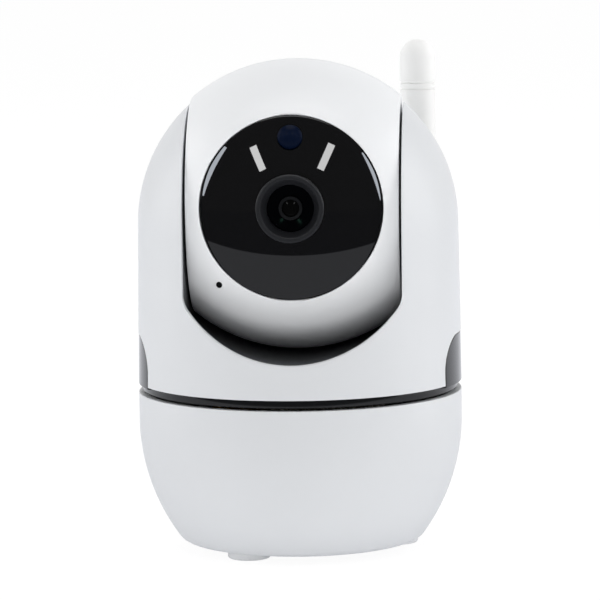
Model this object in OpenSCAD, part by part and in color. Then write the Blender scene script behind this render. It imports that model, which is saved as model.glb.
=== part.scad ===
// Pan and tilt baby monitor camera: a bowl base, a domed body that pans on it,
// and a barrel-shaped camera head that tilts in the body's slot. Front is -Y.

/* [Base] */
// Height of the feet below the base
foot_h = 1.6; // [0.8:0.1:4]
// Radius of a foot
foot_r = 5.3; // [3:0.1:6]
// Radius of the circle that the feet stand on
foot_ring_r = 23.8; // [20:0.1:24]
// Height of the base cup
base_h = 37.7; // [36:0.1:46]
// Step from the body's surface in to the top of the base
base_step = 0.1; // [0:0.1:0.4]
// Height of the straight band at the top of the base
base_band_h = 7; // [3:0.1:12]
// Radius of the bowl's side curve
bowl_r = 50; // [46:0.5:80]
// Fillet round the foot of the bowl
bowl_fillet = 3.5; // [1:0.1:4]
// Wall of the base cup
base_wall = 2; // [1.5:0.1:3]
// Width of the cup's lip round the base plate
lip_w = 0.6; // [0.3:0.1:1.5]
// Thickness of the base plate
plate_t = 2; // [1.5:0.1:3]
// Thickness of the motor deck
deck_t = 2.5; // [2:0.1:3.5]
// Depth of the deck below the rim of the cup
deck_drop = 3.8; // [3.6:0.1:5]

/* [Body] */
// Radius of the body at the trim ring
body_r = 40.4; // [40:0.1:46]
// Radius of the dome
dome_r = 39.8; // [39.5:0.1:45]
// Height from the trim ring to the centre of the dome
body_h = 39.3; // [38:0.1:46]
// Wall of the body shells
body_wall = 1.8; // [1.4:0.1:2.2]
// Height of the trim ring, running gap included
ring_h = 2.2; // [1.5:0.1:4]
// Step from the body surface in to the trim ring
ring_inset = 1.1; // [0.6:0.1:1.5]
// Half width of the arched side panels
ear_half_w = 16.7; // [12:0.1:19]
// Height of the arched side panels above the ring
ear_h = 12; // [10:0.1:16]
// Corner radius of the arched side panels
ear_corner_r = 8.5; // [4:0.1:9]
// Radius of the U-shaped front opening
cradle_r = 32; // [30:0.1:34]
// Height of the U's centre above the dome's centre
cradle_rise = 1.2; // [0:0.1:2]
// Gap between the head and the cradle's floor
cradle_gap = 0.8; // [0.5:0.1:1.5]
// Thickness of the cradle walls
cradle_t = 1.8; // [1.2:0.1:2]
// Height of the rear slot's sill above the dome's centre
sill_rise = 3.2; // [0:0.1:4]
// Corner radius of the rear slot
sill_corner_r = 6; // [3:0.1:10]

/* [Head] */
// Radius of the head at its middle
head_r = 36; // [34:0.1:36.5]
// Half width of the head
head_half_w = 25.9; // [24.5:0.1:26]
// Gap between the head and the slot on each side
slot_gap = 0.6; // [0.5:0.1:1.2]
// Height of the tilt axis above the dome's centre
tilt_rise = 4.7; // [4.4:0.1:6]
// Upward tilt of the head at rest
rest_tilt = 3; // [0:0.5:8]
// Wall of the head shells
head_wall = 1.8; // [1.4:0.1:2.2]
// Distance of the head's parting plane in front of the tilt axis
parting_y = 4; // [2:0.5:6]
// Radius of the face window
face_r = 22.2; // [20.5:0.1:22.5]
// Radius of the face window's dome
face_dome_r = 50; // [45:0.5:70]
// Thickness of the face window
face_t = 2; // [1.5:0.1:2.2]
// Radius of the lens bezel
bezel_r = 8.25; // [7.5:0.05:9]
// Radius of the lens barrel
lens_r = 5.6; // [5:0.1:6]
// Radius of the lens glass
glass_r = 2.3; // [1.5:0.1:3]
// Height of the sensor dome above the lens
sensor_rise = 17; // [15:0.1:17.5]
// Radius of the sensor dome
sensor_r = 3; // [2:0.1:3.2]
// Radius of the microphone hole
mic_r = 0.75; // [0.4:0.05:1.2]

/* [Drives] */
// Gear module of the pan drive
pan_module = 0.75; // [0.7:0.01:0.78]
// Teeth on the pan gear
pan_teeth = 62; // [58:1:64]
// Teeth on the pan pinion
pan_pinion_teeth = 14; // [13:1:16]
// Gear module of the tilt drive
tilt_module = 0.6; // [0.55:0.01:0.65]
// Teeth on the fixed tilt gear
tilt_teeth = 34; // [30:1:36]
// Teeth on the tilt pinion
tilt_pinion_teeth = 14; // [13:1:16]
// Radius of the geared stepper motors
motor_r = 10; // [8:0.1:10.5]
// Length of the pan motor
pan_motor_l = 15; // [10:0.5:18]
// Length of the tilt motor
tilt_motor_l = 14; // [10:0.5:18]
// Radius of the turntable's hub
hub_r = 10; // [9:0.1:11]
// Radius of the wiring bore through the hub
hub_bore_r = 5; // [3:0.1:5.5]

/* [Antenna] */
// Radius of the antenna
antenna_r = 4.5; // [3:0.1:5]
// Distance of the antenna's axis out from the body
antenna_standoff = 5.9; // [5.7:0.1:12]
// Direction of the antenna, from +X towards the back
antenna_angle = 51; // [40:1:60]
// Height of the antenna's pivot above the trim ring
antenna_pivot_h = 24.5; // [20:0.1:28]
// Length of the antenna above its pivot
antenna_l = 58.2; // [40:0.1:80]
// Radius of the antenna's knuckle
knuckle_r = 6; // [5.2:0.1:8]

/* [Hidden] */
$fn = 96;

// Clearances
run_gap = 0.05;
play = 0.15;
seat_gap = 0.1;
ring_gap = 0.35;
board_gap = 1.5;
over = 1;
far = 80;

// Fasteners
screw_r = 1;
screw_head_r = 1.9;
screw_head_h = 1.2;
screw_l = 6;
boss_r = 3;

// Heights, from the table up
plate_z = foot_h;
plate_top = plate_z + plate_t;
rim_z = foot_h + base_h;
deck_top = rim_z - deck_drop;
deck_z = deck_top - deck_t;
ring_top = rim_z + ring_h;
table_t = 2;
table_top = ring_top + table_t;
dome_z = ring_top + body_h;
tilt_z = dome_z + tilt_rise;
cradle_z = dome_z + cradle_rise;
sill_z = dome_z + sill_rise;
antenna_z = ring_top + antenna_pivot_h;

// Base layout
base_r = body_r - base_step;
fin_angles = [60, 180, 300];
foot_angles = [0, 120, 240];
fin_w = 7;
bowl_cx = base_r - bowl_r;
bowl_cz = rim_z - base_band_h;
fillet_z = foot_h + bowl_fillet;
fillet_x = bowl_cx + sqrt(pow(bowl_r - bowl_fillet, 2) - pow(bowl_cz - fillet_z, 2));
tangent_z = bowl_cz + (fillet_z - bowl_cz) * bowl_r / (bowl_r - bowl_fillet);
plate_r = fillet_x - lip_w - seat_gap;
foot_recess = 0.4;
fin_screw_edge = 2.4;
fin_screw_r = plate_r - fin_screw_edge;
insert_r = 4.5;
insert_l = 8;
insert_wall = 2.5;
insert_roof = 0.4;
thread_r = 2.6;
board_t = 1.6;
power_board_r = 21;
power_post_ring_r = 17;
power_z = plate_z + insert_l + insert_roof + over;
usb_w = 7.6;
usb_d = 5.6;
usb_h = 2.7;
usb_shell_t = 0.4;
usb_margin = 0.8;
usb_z = power_z + board_t;
usb_wall_r = bowl_cx + sqrt(pow(bowl_r - base_wall, 2) - pow(bowl_cz - usb_z, 2));
usb_y = usb_wall_r - seat_gap;

// Pan drive layout
pan_gear_pitch_r = pan_module * pan_teeth / 2;
pan_pinion_pitch_r = pan_module * pan_pinion_teeth / 2;
pan_shaft_ring_r = pan_gear_pitch_r + pan_pinion_pitch_r;
deck_screw_gap = 0.6;
deck_screw_r = pan_gear_pitch_r + pan_module + screw_head_r + deck_screw_gap;
pan_motor_angle = 240;
motor_offset = 5;
motor_ear_r = 3.5;
motor_ear_end = 2.4;
motor_ear_half = motor_r + 2.6;
motor_ear_t = 1;
motor_boss_r = 4;
motor_boss_h = 1.5;
shaft_r = 2;
shaft_bore_l = 3;
shaft_in = 2.8;
washer_t = 0.5;
shoulder_w = 4;
shoulder_r = hub_r + shoulder_w;
gear_t = 3;
gear_z = deck_top + washer_t + run_gap;
shoulder_z = gear_z + gear_t;
hub_end_z = deck_z - play;
retainer_t = 1.4;
retainer_w = 2;
retainer_r = hub_r + retainer_w;
retainer_screw_ring_r = (hub_r + hub_bore_r) / 2;

// Antenna layout
antenna_ring_r = max(body_r, dome_r) + antenna_standoff;
knuckle_half_t = 3.6;
antenna_gap = 0.3;
antenna_pin_r = 1.6;
antenna_pin_seat = 4.5;
antenna_pin_head_r = 3.2;
antenna_pin_head_t = 1.4;
antenna_neck_l = 10;
antenna_boss_r = 5;
antenna_boss_root = 2;
element_r = 1.4;
element_tip = 10;
groove_d = 0.4;
groove_w = 0.5;
groove_from_tip = [11, 12.6];

// Body layout
slot_half_w = head_half_w + slot_gap;
floor_r = head_r + tilt_rise + cradle_gap;
floor_z = tilt_z + tilt_rise;
table_r = body_r - body_wall - seat_gap;
ring_w = 2;
shell_boss_edge = 1.4;
shell_boss_ring_r = table_r - boss_r - shell_boss_edge;
shell_boss_angles = [45, 135, 225, 315];
shell_boss_h = 7;
cradle_leg_r = boss_r - 0.4;
cradle_leg_x = slot_half_w - cradle_t;
cradle_leg_y = 9;
cradle_back_y = 14;
cradle_cut_z = antenna_z + antenna_boss_r + over;
speaker_r = 9;
speaker_t = 4;
speaker_rim_w = 1.5;
speaker_cone_d = 1;
speaker_z = table_top + board_gap + speaker_r;
function body_inner_r(z) = body_r + (dome_r - body_r) * (z - ring_top) / body_h - body_wall;
speaker_wall_r = min(body_inner_r(speaker_z - speaker_r), body_inner_r(speaker_z + speaker_r));
speaker_y = sqrt(speaker_wall_r * speaker_wall_r - speaker_r * speaker_r) - seat_gap;
grille_hole_r = 0.8;
grille_pitch = 3;
grille_rings = 2;
main_board_y = speaker_y - speaker_t - board_gap - board_t;
main_board_half_w = 18.5;
main_board_h = 16;
processor_w = 12;
processor_t = 1.2;
stub_r = 4;
stub_flange_r = 7;
stub_flange_t = 1.5;
trunnion_r = 5;
trunnion_bore_r = 3.2;
trunnion_flange_w = 3;
trunnion_flange_t = 1.4;
trunnion_end = 0.4;
bush_t = 2;
bush_flange_t = 1;
bush_flange_w = 1.5;

// Head layout: distances along the lens axis are measured from the tilt axis
profile_r = head_r + tilt_rise;
face_proud = 0.2;
face_rim_y = sqrt(head_r * head_r - face_r * face_r) + face_proud;
face_center_y = face_rim_y - sqrt(face_dome_r * face_dome_r - face_r * face_r);
face_apex_y = face_center_y + face_dome_r;
seat_d = 2;
seat_y = face_rim_y - seat_d;
seat_t = 2;
seat_w = 1.5;
seat_rim_w = 3;
led_board_t = 1.2;
led_board_play = 0.4;
led_board_y = seat_y - seat_t;
led_board_back_y = led_board_y - led_board_t;
led_board_r = face_r + 0.5;
led_r = 1.5;
led_l = 2;
led_ring_r = 14;
led_angles = [0, 45, 90, 135, 180, 225, 315];
bezel_proud = 1.2;
bezel_depth = 4;
bezel_rim_w = 1.2;
bezel_chamfer = 0.4;
bezel_front_y = face_apex_y + bezel_proud;
bezel_back_y = face_apex_y - bezel_depth;
bezel_flange_r = bezel_r + bezel_rim_w;
face_inner_r = face_dome_r - face_t;
bezel_flange_y = face_center_y + sqrt(pow(face_inner_r, 2) - pow(bezel_flange_r, 2)) - seat_gap;
bezel_mouth_r = bezel_r - bezel_rim_w;
lens_drop = 3.4;
lens_lip = 0.6;
lens_recess = 1.6;
lens_ring_w = 0.6;
lens_ring_t = 1;
lens_ring_proud = 0.2;
lens_stop_w = 0.4;
glass_t = 0.8;
lens_front_y = bezel_front_y - lens_drop;
holder_half_w = 8;
sensor_board_back_y = 12;
sensor_board_y = sensor_board_back_y + board_t;
sensor_board_half_w = 17;
image_sensor_half_w = 4;
image_sensor_t = 1.2;
image_sensor_gap = 1;
lens_back_y = sensor_board_y + image_sensor_t + board_gap;
holder_front_y = led_board_back_y - over;
spacer_r = 2;
spacer_at = 14;
sensor_dome_curve_r = 4;
sensor_seat_y = face_center_y + sqrt(pow(face_dome_r, 2) - pow(sensor_rise, 2));
mic_elevation = -35.8;
mic_swing = -26;
mic_hole_l = 4;
mic_sink = 0.2;
mic_capsule_r = 2;
mic_capsule_t = 1.5;
head_post_x = 19;
head_post_z = 21;
head_post_r = 2.6;
head_screw_back_y = 14;
head_screw_l = 15;
rib_t = 1.4;
tilt_gear_pitch_r = tilt_module * tilt_teeth / 2;
tilt_pinion_pitch_r = tilt_module * tilt_pinion_teeth / 2;
tilt_shaft_ring_r = tilt_gear_pitch_r + tilt_pinion_pitch_r;
tilt_motor_angle = -10;
tilt_shaft_r = 1.5;
tilt_gear_t = 3;
tilt_gear_gap = 1.2;
tilt_gear_x = head_half_w - head_wall - bush_flange_t - tilt_gear_gap;
rib_gap = 0.6;
rib_x = tilt_gear_x - tilt_gear_t - rib_gap;
rib_edge = 4;
pinion_hole_gap = 1.5;
card_elevation = -100;
card_w = 14;
card_d = 15;
card_t = 1.9;
card_slot_w = 11.6;
card_slot_t = 1.1;
card_set_in = 0.9;
card_board_half_w = 15;
card_board_d = 18;
card_board_set_in = 6;
reset_swing = 16;
reset_r = 1.5;
reset_travel = 0.5;
reset_flange_r = 2.3;
reset_flange_t = 0.8;
reset_seat_y = profile_r - head_wall - play;
reset_sink = 0.3;
reset_switch_w = 4;
reset_switch_t = 2.4;

// Gear tooth outline: involute flanks between a cut root and a stub tip.
pressure = 20;
tip_k = 0.8;
root_k = 1.15;
backlash = 0.07;
flank_steps = 4;
function involute(a) = tan(a) * 180 / PI - a;
function half_angle(r, pitch_r, teeth) =
  90 / teeth - backlash / pitch_r * 180 / PI + involute(pressure)
  - involute(acos(min(1, pitch_r * cos(pressure) / r)));
function flank(pitch_r, m) =
  let (start = max(pitch_r * cos(pressure), pitch_r - root_k * m), end = pitch_r + tip_k * m)
  [for (i = [0:flank_steps]) start + (end - start) * i / flank_steps];
function polar(r, a) = [r * cos(a), r * sin(a)];
function tooth(pitch_r, m, teeth, a) =
  let (rs = flank(pitch_r, m), root = pitch_r - root_k * m, base = half_angle(rs[0], pitch_r, teeth))
  concat(
    [polar(root, a - base)],
    [for (i = [0:flank_steps]) polar(rs[i], a - half_angle(rs[i], pitch_r, teeth))],
    [for (i = [flank_steps:-1:0]) polar(rs[i], a + half_angle(rs[i], pitch_r, teeth))],
    [polar(root, a + base)]
  );

// A spur gear blank standing on z = 0, first tooth on the +X axis.
module spur(m, teeth, t) {
  pitch_r = m * teeth / 2;
  linear_extrude(t)
    polygon([for (i = [0:teeth - 1]) each tooth(pitch_r, m, teeth, i * 360 / teeth)]);
}

// A pan-head screw with its head's seat at z = 0 and its shank downwards.
module screw(l, r = screw_r) {
  translate([0, 0, -l]) cylinder(h = l, r = r);
  cylinder(h = screw_head_h, r = screw_head_r);
}

// Copies of the children round the pan axis at a radius.
module ring_of(angles, r) {
  for (a = angles) rotate([0, 0, a]) translate([r, 0, 0]) children();
}

// A cylinder along +Y from y to y + l.
module along_y(y, l, r) translate([0, y, 0]) rotate([-90, 0, 0]) cylinder(h = l, r = r);

// A cylinder along +X from x to x + l.
module along_x(x, l, r) translate([x, 0, 0]) rotate([0, 90, 0]) cylinder(h = l, r = r);

// A block centred on X and Z between two distances forward of the tilt axis.
module front_block(w, h, back, front) translate([-w / 2, -front, -h / 2]) cube([w, front - back, h]);

// The bowl's outer form, or its inner face when set in by a wall.
module bowl_form(inset) {
  rotate_extrude() union() {
    intersection() {
      translate([bowl_cx, bowl_cz]) circle(r = bowl_r - inset);
      translate([0, tangent_z]) square([base_r, bowl_cz - tangent_z + over]);
    }
    translate([0, foot_h]) square([fillet_x - inset, tangent_z - foot_h]);
    translate([0, bowl_cz]) square([base_r - inset, base_band_h]);
    if (inset == 0) translate([fillet_x, fillet_z]) circle(r = bowl_fillet);
  }
}

// The body's outer form, a drafted cone under a dome, set in by an inset.
module body_form(inset) {
  rotate_extrude() union() {
    polygon([[0, ring_top], [body_r - inset, ring_top], [dome_r - inset, dome_z], [0, dome_z]]);
    intersection() {
      translate([0, dome_z]) circle(r = dome_r - inset);
      translate([0, dome_z]) square([dome_r, dome_r]);
    }
  }
}

// Outline of the slot from the front: straight sides over a round bottom with its centre at z.
module slot_outline(half_w, r, z) {
  intersection() {
    translate([0, z]) circle(r = r);
    translate([-half_w, z - r]) square([2 * half_w, 2 * r]);
  }
  translate([-half_w, z]) square([2 * half_w, far]);
}

// Outline of the slot at the back: straight sides over a rounded sill.
module sill_outline() {
  inner = slot_half_w - sill_corner_r;
  for (s = [-1, 1]) translate([s * inner, sill_z + sill_corner_r]) circle(r = sill_corner_r);
  translate([-inner, sill_z]) square([2 * inner, far]);
  translate([-slot_half_w, sill_z + sill_corner_r]) square([2 * slot_half_w, far]);
}

// An outline drawn in X and Z, drawn out between two places in Y.
module extrude_y(from, to) translate([0, to, 0]) rotate([90, 0, 0]) linear_extrude(to - from) children();

// Outline of the arched side panels, grown by a gap.
module ear_outline(gap) {
  w = ear_half_w + gap;
  r = ear_corner_r + gap;
  top = ring_top + ear_h + gap;
  for (s = [-1, 1]) translate([s * (w - r), top - r]) circle(r = r);
  translate([-w, ring_top - ring_h]) square([2 * w, top - r - ring_top + ring_h]);
  translate([-(w - r), ring_top - ring_h]) square([2 * (w - r), top - ring_top + ring_h]);
}

// The panels' outline drawn through the body from side to side.
module ear_prism(gap) rotate([90, 0, 90]) translate([0, 0, -far]) linear_extrude(2 * far) ear_outline(gap);

// The head's barrel about the tilt axis, in two half turns, set in by a wall.
module barrel(inset) {
  for (turn = [90, 270]) rotate([turn, 0, 0]) rotate([0, 90, 0]) rotate_extrude(angle = 180) intersection() {
    translate([-tilt_rise, 0]) circle(r = profile_r - inset);
    translate([0, -(head_half_w - inset)]) square([head_r, 2 * (head_half_w - inset)]);
  }
}

// Puts the head's pieces in their place, tilted up as at rest.
module in_head() translate([0, 0, tilt_z]) rotate([-rest_tilt, 0, 0]) children();

// Turns -Y to a place on the barrel: up by an elevation, then across by a swing.
module on_barrel(elevation, swing) rotate([-elevation, 0, 0]) translate([0, tilt_rise, 0])
  rotate([0, 0, swing]) children();

// A geared stepper motor: can, gearbox lid with two ears, and a boss round the shaft, facing +Z at z = 0.
module stepper(l) {
  difference() {
    union() {
      translate([-motor_offset, 0, -l]) cylinder(h = l, r = motor_r);
      translate([-motor_offset - motor_ear_r, -motor_ear_half - motor_ear_end, -motor_ear_t])
        cube([2 * motor_ear_r, 2 * (motor_ear_half + motor_ear_end), motor_ear_t]);
      cylinder(h = motor_boss_h, r = motor_boss_r);
    }
    for (s = [-1, 1]) translate([-motor_offset, s * motor_ear_half, -l]) cylinder(h = 2 * l, r = screw_r);
    translate([0, 0, -shaft_bore_l]) cylinder(h = shaft_bore_l + far, r = shaft_r + run_gap);
  }
}

// Places a stepper's shaft under the motor deck.
module at_pan_motor() rotate([0, 0, pan_motor_angle]) translate([pan_shaft_ring_r, 0, deck_z]) children();

// Places the tilt motor's shaft in the head, pointing to -X.
module at_tilt_motor() translate([-rib_x + rib_t, 0, 0]) rotate([tilt_motor_angle, 0, 0])
  translate([0, tilt_shaft_ring_r, 0]) rotate([0, -90, 0]) rotate([0, 0, -90]) children();

// The shallow recesses that the feet are glued into, across the plate and the lip of the cup.
module foot_recesses() ring_of(foot_angles, foot_ring_r)
  translate([0, 0, plate_z - over]) cylinder(h = over + foot_recess, r = foot_r);

module base_cup() {
  color("white") difference() {
    union() {
      difference() {
        bowl_form(0);
        bowl_form(base_wall);
        translate([0, 0, -far]) cylinder(h = far + plate_top, r = plate_r + seat_gap);
      }
      intersection() {
        bowl_form(base_wall / 2);
        for (a = fin_angles) rotate([0, 0, a])
          translate([fin_screw_r - fin_w / 2, -fin_w / 2, plate_top]) cube([far, fin_w, deck_z - plate_top]);
      }
    }
    ring_of(fin_angles, fin_screw_r)
      translate([0, 0, plate_top - over]) cylinder(h = over + screw_l, r = screw_r);
    ring_of(fin_angles, deck_screw_r)
      translate([0, 0, deck_z - screw_l]) cylinder(h = screw_l + over, r = screw_r);
    foot_recesses();
    translate([-usb_w / 2 - usb_margin, usb_y - over, usb_z - usb_margin])
      cube([usb_w + 2 * usb_margin, far, usb_h + 2 * usb_margin]);
  }
}

module base_plate() {
  color("whitesmoke") difference() {
    union() {
      translate([0, 0, plate_z]) cylinder(h = plate_t, r = plate_r);
      translate([0, 0, plate_z]) cylinder(h = insert_l + insert_roof, r = insert_r + insert_wall);
      ring_of(fin_angles, power_post_ring_r) translate([0, 0, plate_z])
        cylinder(h = power_z - plate_z, r = boss_r);
    }
    translate([0, 0, plate_z - over]) {
      cylinder(h = insert_l + over, r = insert_r);
      ring_of(fin_angles, fin_screw_r) {
        cylinder(h = far, r = screw_r);
        cylinder(h = over + screw_head_h, r = screw_head_r + seat_gap);
      }
    }
    foot_recesses();
  }
}

module feet() {
  color("gainsboro") ring_of(foot_angles, foot_ring_r) cylinder(h = foot_h + foot_recess, r = foot_r);
}

module base_screws() {
  color("silver") ring_of(fin_angles, fin_screw_r)
    translate([0, 0, plate_z + screw_head_h]) rotate([180, 0, 0]) screw(screw_l);
}

module tripod_insert() {
  color("goldenrod") difference() {
    translate([0, 0, plate_z]) cylinder(h = insert_l, r = insert_r);
    translate([0, 0, plate_z - over]) cylinder(h = insert_l + 2 * over, r = thread_r);
  }
}

module power_board() {
  color("darkgreen") translate([0, 0, power_z]) linear_extrude(board_t) {
    circle(r = power_board_r);
    translate([-usb_w / 2 - over, 0]) square([usb_w + 2 * over, usb_y - over]);
  }
}

module usb_socket() {
  color("silver") difference() {
    translate([-usb_w / 2, usb_y - usb_d, usb_z]) cube([usb_w, usb_d, usb_h]);
    translate([-usb_w / 2 + usb_shell_t, usb_y - usb_d + over, usb_z + usb_shell_t])
      cube([usb_w - 2 * usb_shell_t, usb_d, usb_h - 2 * usb_shell_t]);
  }
}

module motor_deck() {
  color("dimgray") difference() {
    translate([0, 0, deck_z]) cylinder(h = deck_t, r = base_r - base_wall - seat_gap);
    translate([0, 0, deck_z - over]) cylinder(h = deck_t + 2 * over, r = hub_r + run_gap);
    at_pan_motor() translate([0, 0, -over]) {
      cylinder(h = far, r = motor_boss_r + seat_gap);
      for (s = [-1, 1]) translate([-motor_offset, s * motor_ear_half, 0]) cylinder(h = far, r = screw_r);
    }
    ring_of(fin_angles, deck_screw_r) translate([0, 0, deck_z - over])
      cylinder(h = deck_t + 2 * over, r = screw_r);
  }
}

module deck_screws() {
  color("silver") ring_of(fin_angles, deck_screw_r) translate([0, 0, deck_top]) screw(screw_l);
}

module pan_motor() color("lightgray") at_pan_motor() stepper(pan_motor_l);

module pan_motor_screws() {
  color("silver") at_pan_motor() for (s = [-1, 1])
    translate([-motor_offset, s * motor_ear_half, deck_t]) screw(deck_t + motor_ear_t + over);
}

module pan_washer() {
  color("ivory") difference() {
    translate([0, 0, deck_top]) cylinder(h = washer_t, r = shoulder_r);
    translate([0, 0, deck_top - over]) cylinder(h = washer_t + 2 * over, r = hub_r + play);
  }
}

module pan_shaft() {
  color("silver") at_pan_motor() translate([0, 0, -shaft_in])
    cylinder(h = shaft_in + shoulder_z - deck_z, r = shaft_r);
}

module pan_pinion() {
  color("goldenrod") at_pan_motor() difference() {
    translate([0, 0, gear_z - deck_z + play]) rotate([0, 0, 180 + 180 / pan_pinion_teeth])
      spur(pan_module, pan_pinion_teeth, gear_t - 2 * play);
    cylinder(h = far, r = shaft_r);
  }
}

module turntable() {
  color("dimgray") difference() {
    union() {
      translate([0, 0, ring_top]) cylinder(h = table_t, r = table_r);
      translate([0, 0, shoulder_z]) cylinder(h = ring_top - shoulder_z, r = shoulder_r);
      translate([0, 0, hub_end_z]) cylinder(h = ring_top - hub_end_z, r = hub_r);
    }
    translate([0, 0, hub_end_z - over]) {
      cylinder(h = far, r = hub_bore_r);
      ring_of(fin_angles, retainer_screw_ring_r) cylinder(h = screw_l, r = screw_r);
    }
    translate([0, 0, ring_top - over]) {
      ring_of(shell_boss_angles, shell_boss_ring_r) cylinder(h = far, r = screw_r);
      at_cradle_legs() cylinder(h = far, r = screw_r);
    }
  }
}

module pan_gear() {
  color("ivory") translate([0, 0, gear_z]) difference() {
    rotate([0, 0, pan_motor_angle]) spur(pan_module, pan_teeth, gear_t);
    translate([0, 0, -over]) cylinder(h = gear_t + 2 * over, r = hub_r);
  }
}

module hub_retainer() {
  color("dimgray") difference() {
    translate([0, 0, hub_end_z - retainer_t]) cylinder(h = retainer_t, r = retainer_r);
    translate([0, 0, hub_end_z - far]) {
      cylinder(h = 2 * far, r = hub_bore_r);
      ring_of(fin_angles, retainer_screw_ring_r) cylinder(h = 2 * far, r = screw_r);
    }
  }
}

module retainer_screws() {
  color("silver") ring_of(fin_angles, retainer_screw_ring_r)
    translate([0, 0, hub_end_z - retainer_t]) rotate([180, 0, 0]) screw(screw_l - over);
}

module trim_ring() {
  color("black") {
    difference() {
      translate([0, 0, rim_z + ring_gap]) cylinder(h = ring_top - rim_z - ring_gap, r = body_r - ring_inset);
      translate([0, 0, rim_z - over]) cylinder(h = far, r = table_r - ring_w);
    }
    intersection() {
      ear_prism(0);
      difference() {
        body_form(seat_gap);
        translate([0, 0, ring_top - over]) cylinder(h = far, r = table_r + run_gap);
      }
    }
  }
}

// One half of the body: the shell, its screw bosses, and the cuts for the side panels.
module half_shell(side) {
  difference() {
    union() {
      difference() {
        body_form(0);
        body_form(body_wall);
      }
      intersection() {
        body_form(body_wall / 2);
        ring_of(shell_boss_angles, shell_boss_ring_r) translate([0, 0, table_top]) {
          cylinder(h = shell_boss_h, r = boss_r);
          translate([0, -boss_r / 2, 0]) cube([far, boss_r, shell_boss_h]);
        }
      }
    }
    translate([-far, side > 0 ? -far : 0, -far]) cube([2 * far, far, 4 * far]);
    ring_of(shell_boss_angles, shell_boss_ring_r) cylinder(h = table_top + screw_l, r = screw_r);
    ear_prism(seat_gap);
  }
}

module front_shell() {
  color("white") difference() {
    half_shell(-1);
    extrude_y(-far, over) slot_outline(slot_half_w, cradle_r, cradle_z);
  }
}

// Puts the antenna's pieces in place: X points outwards from the body.
module at_antenna() rotate([0, 0, antenna_angle]) translate([antenna_ring_r, 0, antenna_z]) children();

module rear_shell() {
  color("white") difference() {
    union() {
      difference() {
        half_shell(1);
        extrude_y(-over, far) sill_outline();
      }
      difference() {
        at_antenna() along_x(-antenna_ring_r, antenna_ring_r - knuckle_half_t - antenna_gap, antenna_boss_r);
        body_form(body_wall + antenna_boss_root);
        translate([-far, -far, -far]) cube([2 * far, far, 4 * far]);
      }
    }
    at_antenna() along_x(-antenna_ring_r, antenna_ring_r, antenna_pin_r);
    translate([0, 0, speaker_z]) for (r = [0:grille_rings], i = [0:max(1, 6 * r) - 1])
      rotate([0, 60 / max(1, r) * i, 0]) translate([r * grille_pitch, 0, 0])
      along_y(over, far, grille_hole_r);
  }
}

module shell_screws() {
  color("silver") ring_of(shell_boss_angles, shell_boss_ring_r)
    translate([0, 0, ring_top]) rotate([180, 0, 0]) screw(screw_l + table_t - over);
}

// Copies of the children at the cradle's four legs.
module at_cradle_legs() {
  for (x = [-1, 1], y = [-1, 1]) translate([x * cradle_leg_x, y * cradle_leg_y, 0]) children();
}

module cradle() {
  color("black") difference() {
    union() {
      intersection() {
        body_form(body_wall + seat_gap);
        extrude_y(-far, far) slot_outline(slot_half_w + cradle_t, floor_r + cradle_t, floor_z);
      }
      at_cradle_legs() translate([0, 0, table_top]) cylinder(h = cradle_z - table_top, r = cradle_leg_r);
    }
    extrude_y(-far, far) slot_outline(slot_half_w, floor_r, floor_z);
    translate([-far, cradle_back_y, 0]) cube([2 * far, far, cradle_cut_z]);
    at_cradle_legs() cylinder(h = table_top + screw_l, r = screw_r);
    translate([0, 0, tilt_z]) along_x(0, far, trunnion_r + bush_t);
    translate([0, 0, tilt_z]) along_x(-far, far, stub_r);
  }
}

module cradle_screws() {
  color("silver") at_cradle_legs() translate([0, 0, ring_top])
    rotate([180, 0, 0]) screw(screw_l + table_t - over);
}

module main_board() {
  color("darkgreen") translate([-main_board_half_w, main_board_y, table_top])
    cube([2 * main_board_half_w, board_t, main_board_h]);
}

module processor() {
  color("dimgray") translate([-processor_w / 2, main_board_y - processor_t, table_top + board_gap])
    cube([processor_w, processor_t, processor_w]);
}

module speaker() {
  color("dimgray") translate([0, 0, speaker_z]) difference() {
    along_y(speaker_y - speaker_t, speaker_t, speaker_r);
    along_y(speaker_y - speaker_cone_d, 2 * speaker_cone_d, speaker_r - speaker_rim_w);
  }
}

module tilt_stub() {
  color("silver") translate([0, 0, tilt_z]) {
    along_x(-slot_half_w - cradle_t, slot_half_w + cradle_t - tilt_gear_x + tilt_gear_t, stub_r);
    along_x(-slot_half_w - cradle_t - stub_flange_t, stub_flange_t, stub_flange_r);
  }
}

module tilt_gear() {
  color("ivory") in_head() difference() {
    translate([-tilt_gear_x, 0, 0]) rotate([tilt_motor_angle, 0, 0]) rotate([0, 90, 0]) rotate([0, 0, 90])
      spur(tilt_module, tilt_teeth, tilt_gear_t);
    along_x(-far, 2 * far, stub_r);
  }
}

module tilt_bush() {
  color("ivory") translate([0, 0, tilt_z]) difference() {
    union() {
      along_x(slot_half_w, cradle_t, trunnion_r + bush_t);
      along_x(slot_half_w + cradle_t, bush_flange_t, trunnion_r + bush_t + bush_flange_w);
    }
    along_x(0, far, trunnion_r + run_gap);
  }
}

module antenna_pivot() {
  color("silver") at_antenna() {
    along_x(-knuckle_half_t - antenna_pin_seat, antenna_pin_seat + 2 * knuckle_half_t + run_gap,
      antenna_pin_r);
    along_x(knuckle_half_t + run_gap, antenna_pin_head_t, antenna_pin_head_r);
  }
}

module antenna_knuckle() {
  color("white") at_antenna() difference() {
    union() {
      along_x(-knuckle_half_t, 2 * knuckle_half_t, knuckle_r);
      intersection() {
        cylinder(h = antenna_neck_l, r = antenna_r);
        translate([-knuckle_half_t, -far, 0]) cube([2 * knuckle_half_t, 2 * far, far]);
      }
    }
    along_x(-far, 2 * far, antenna_pin_r + run_gap);
  }
}

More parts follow.
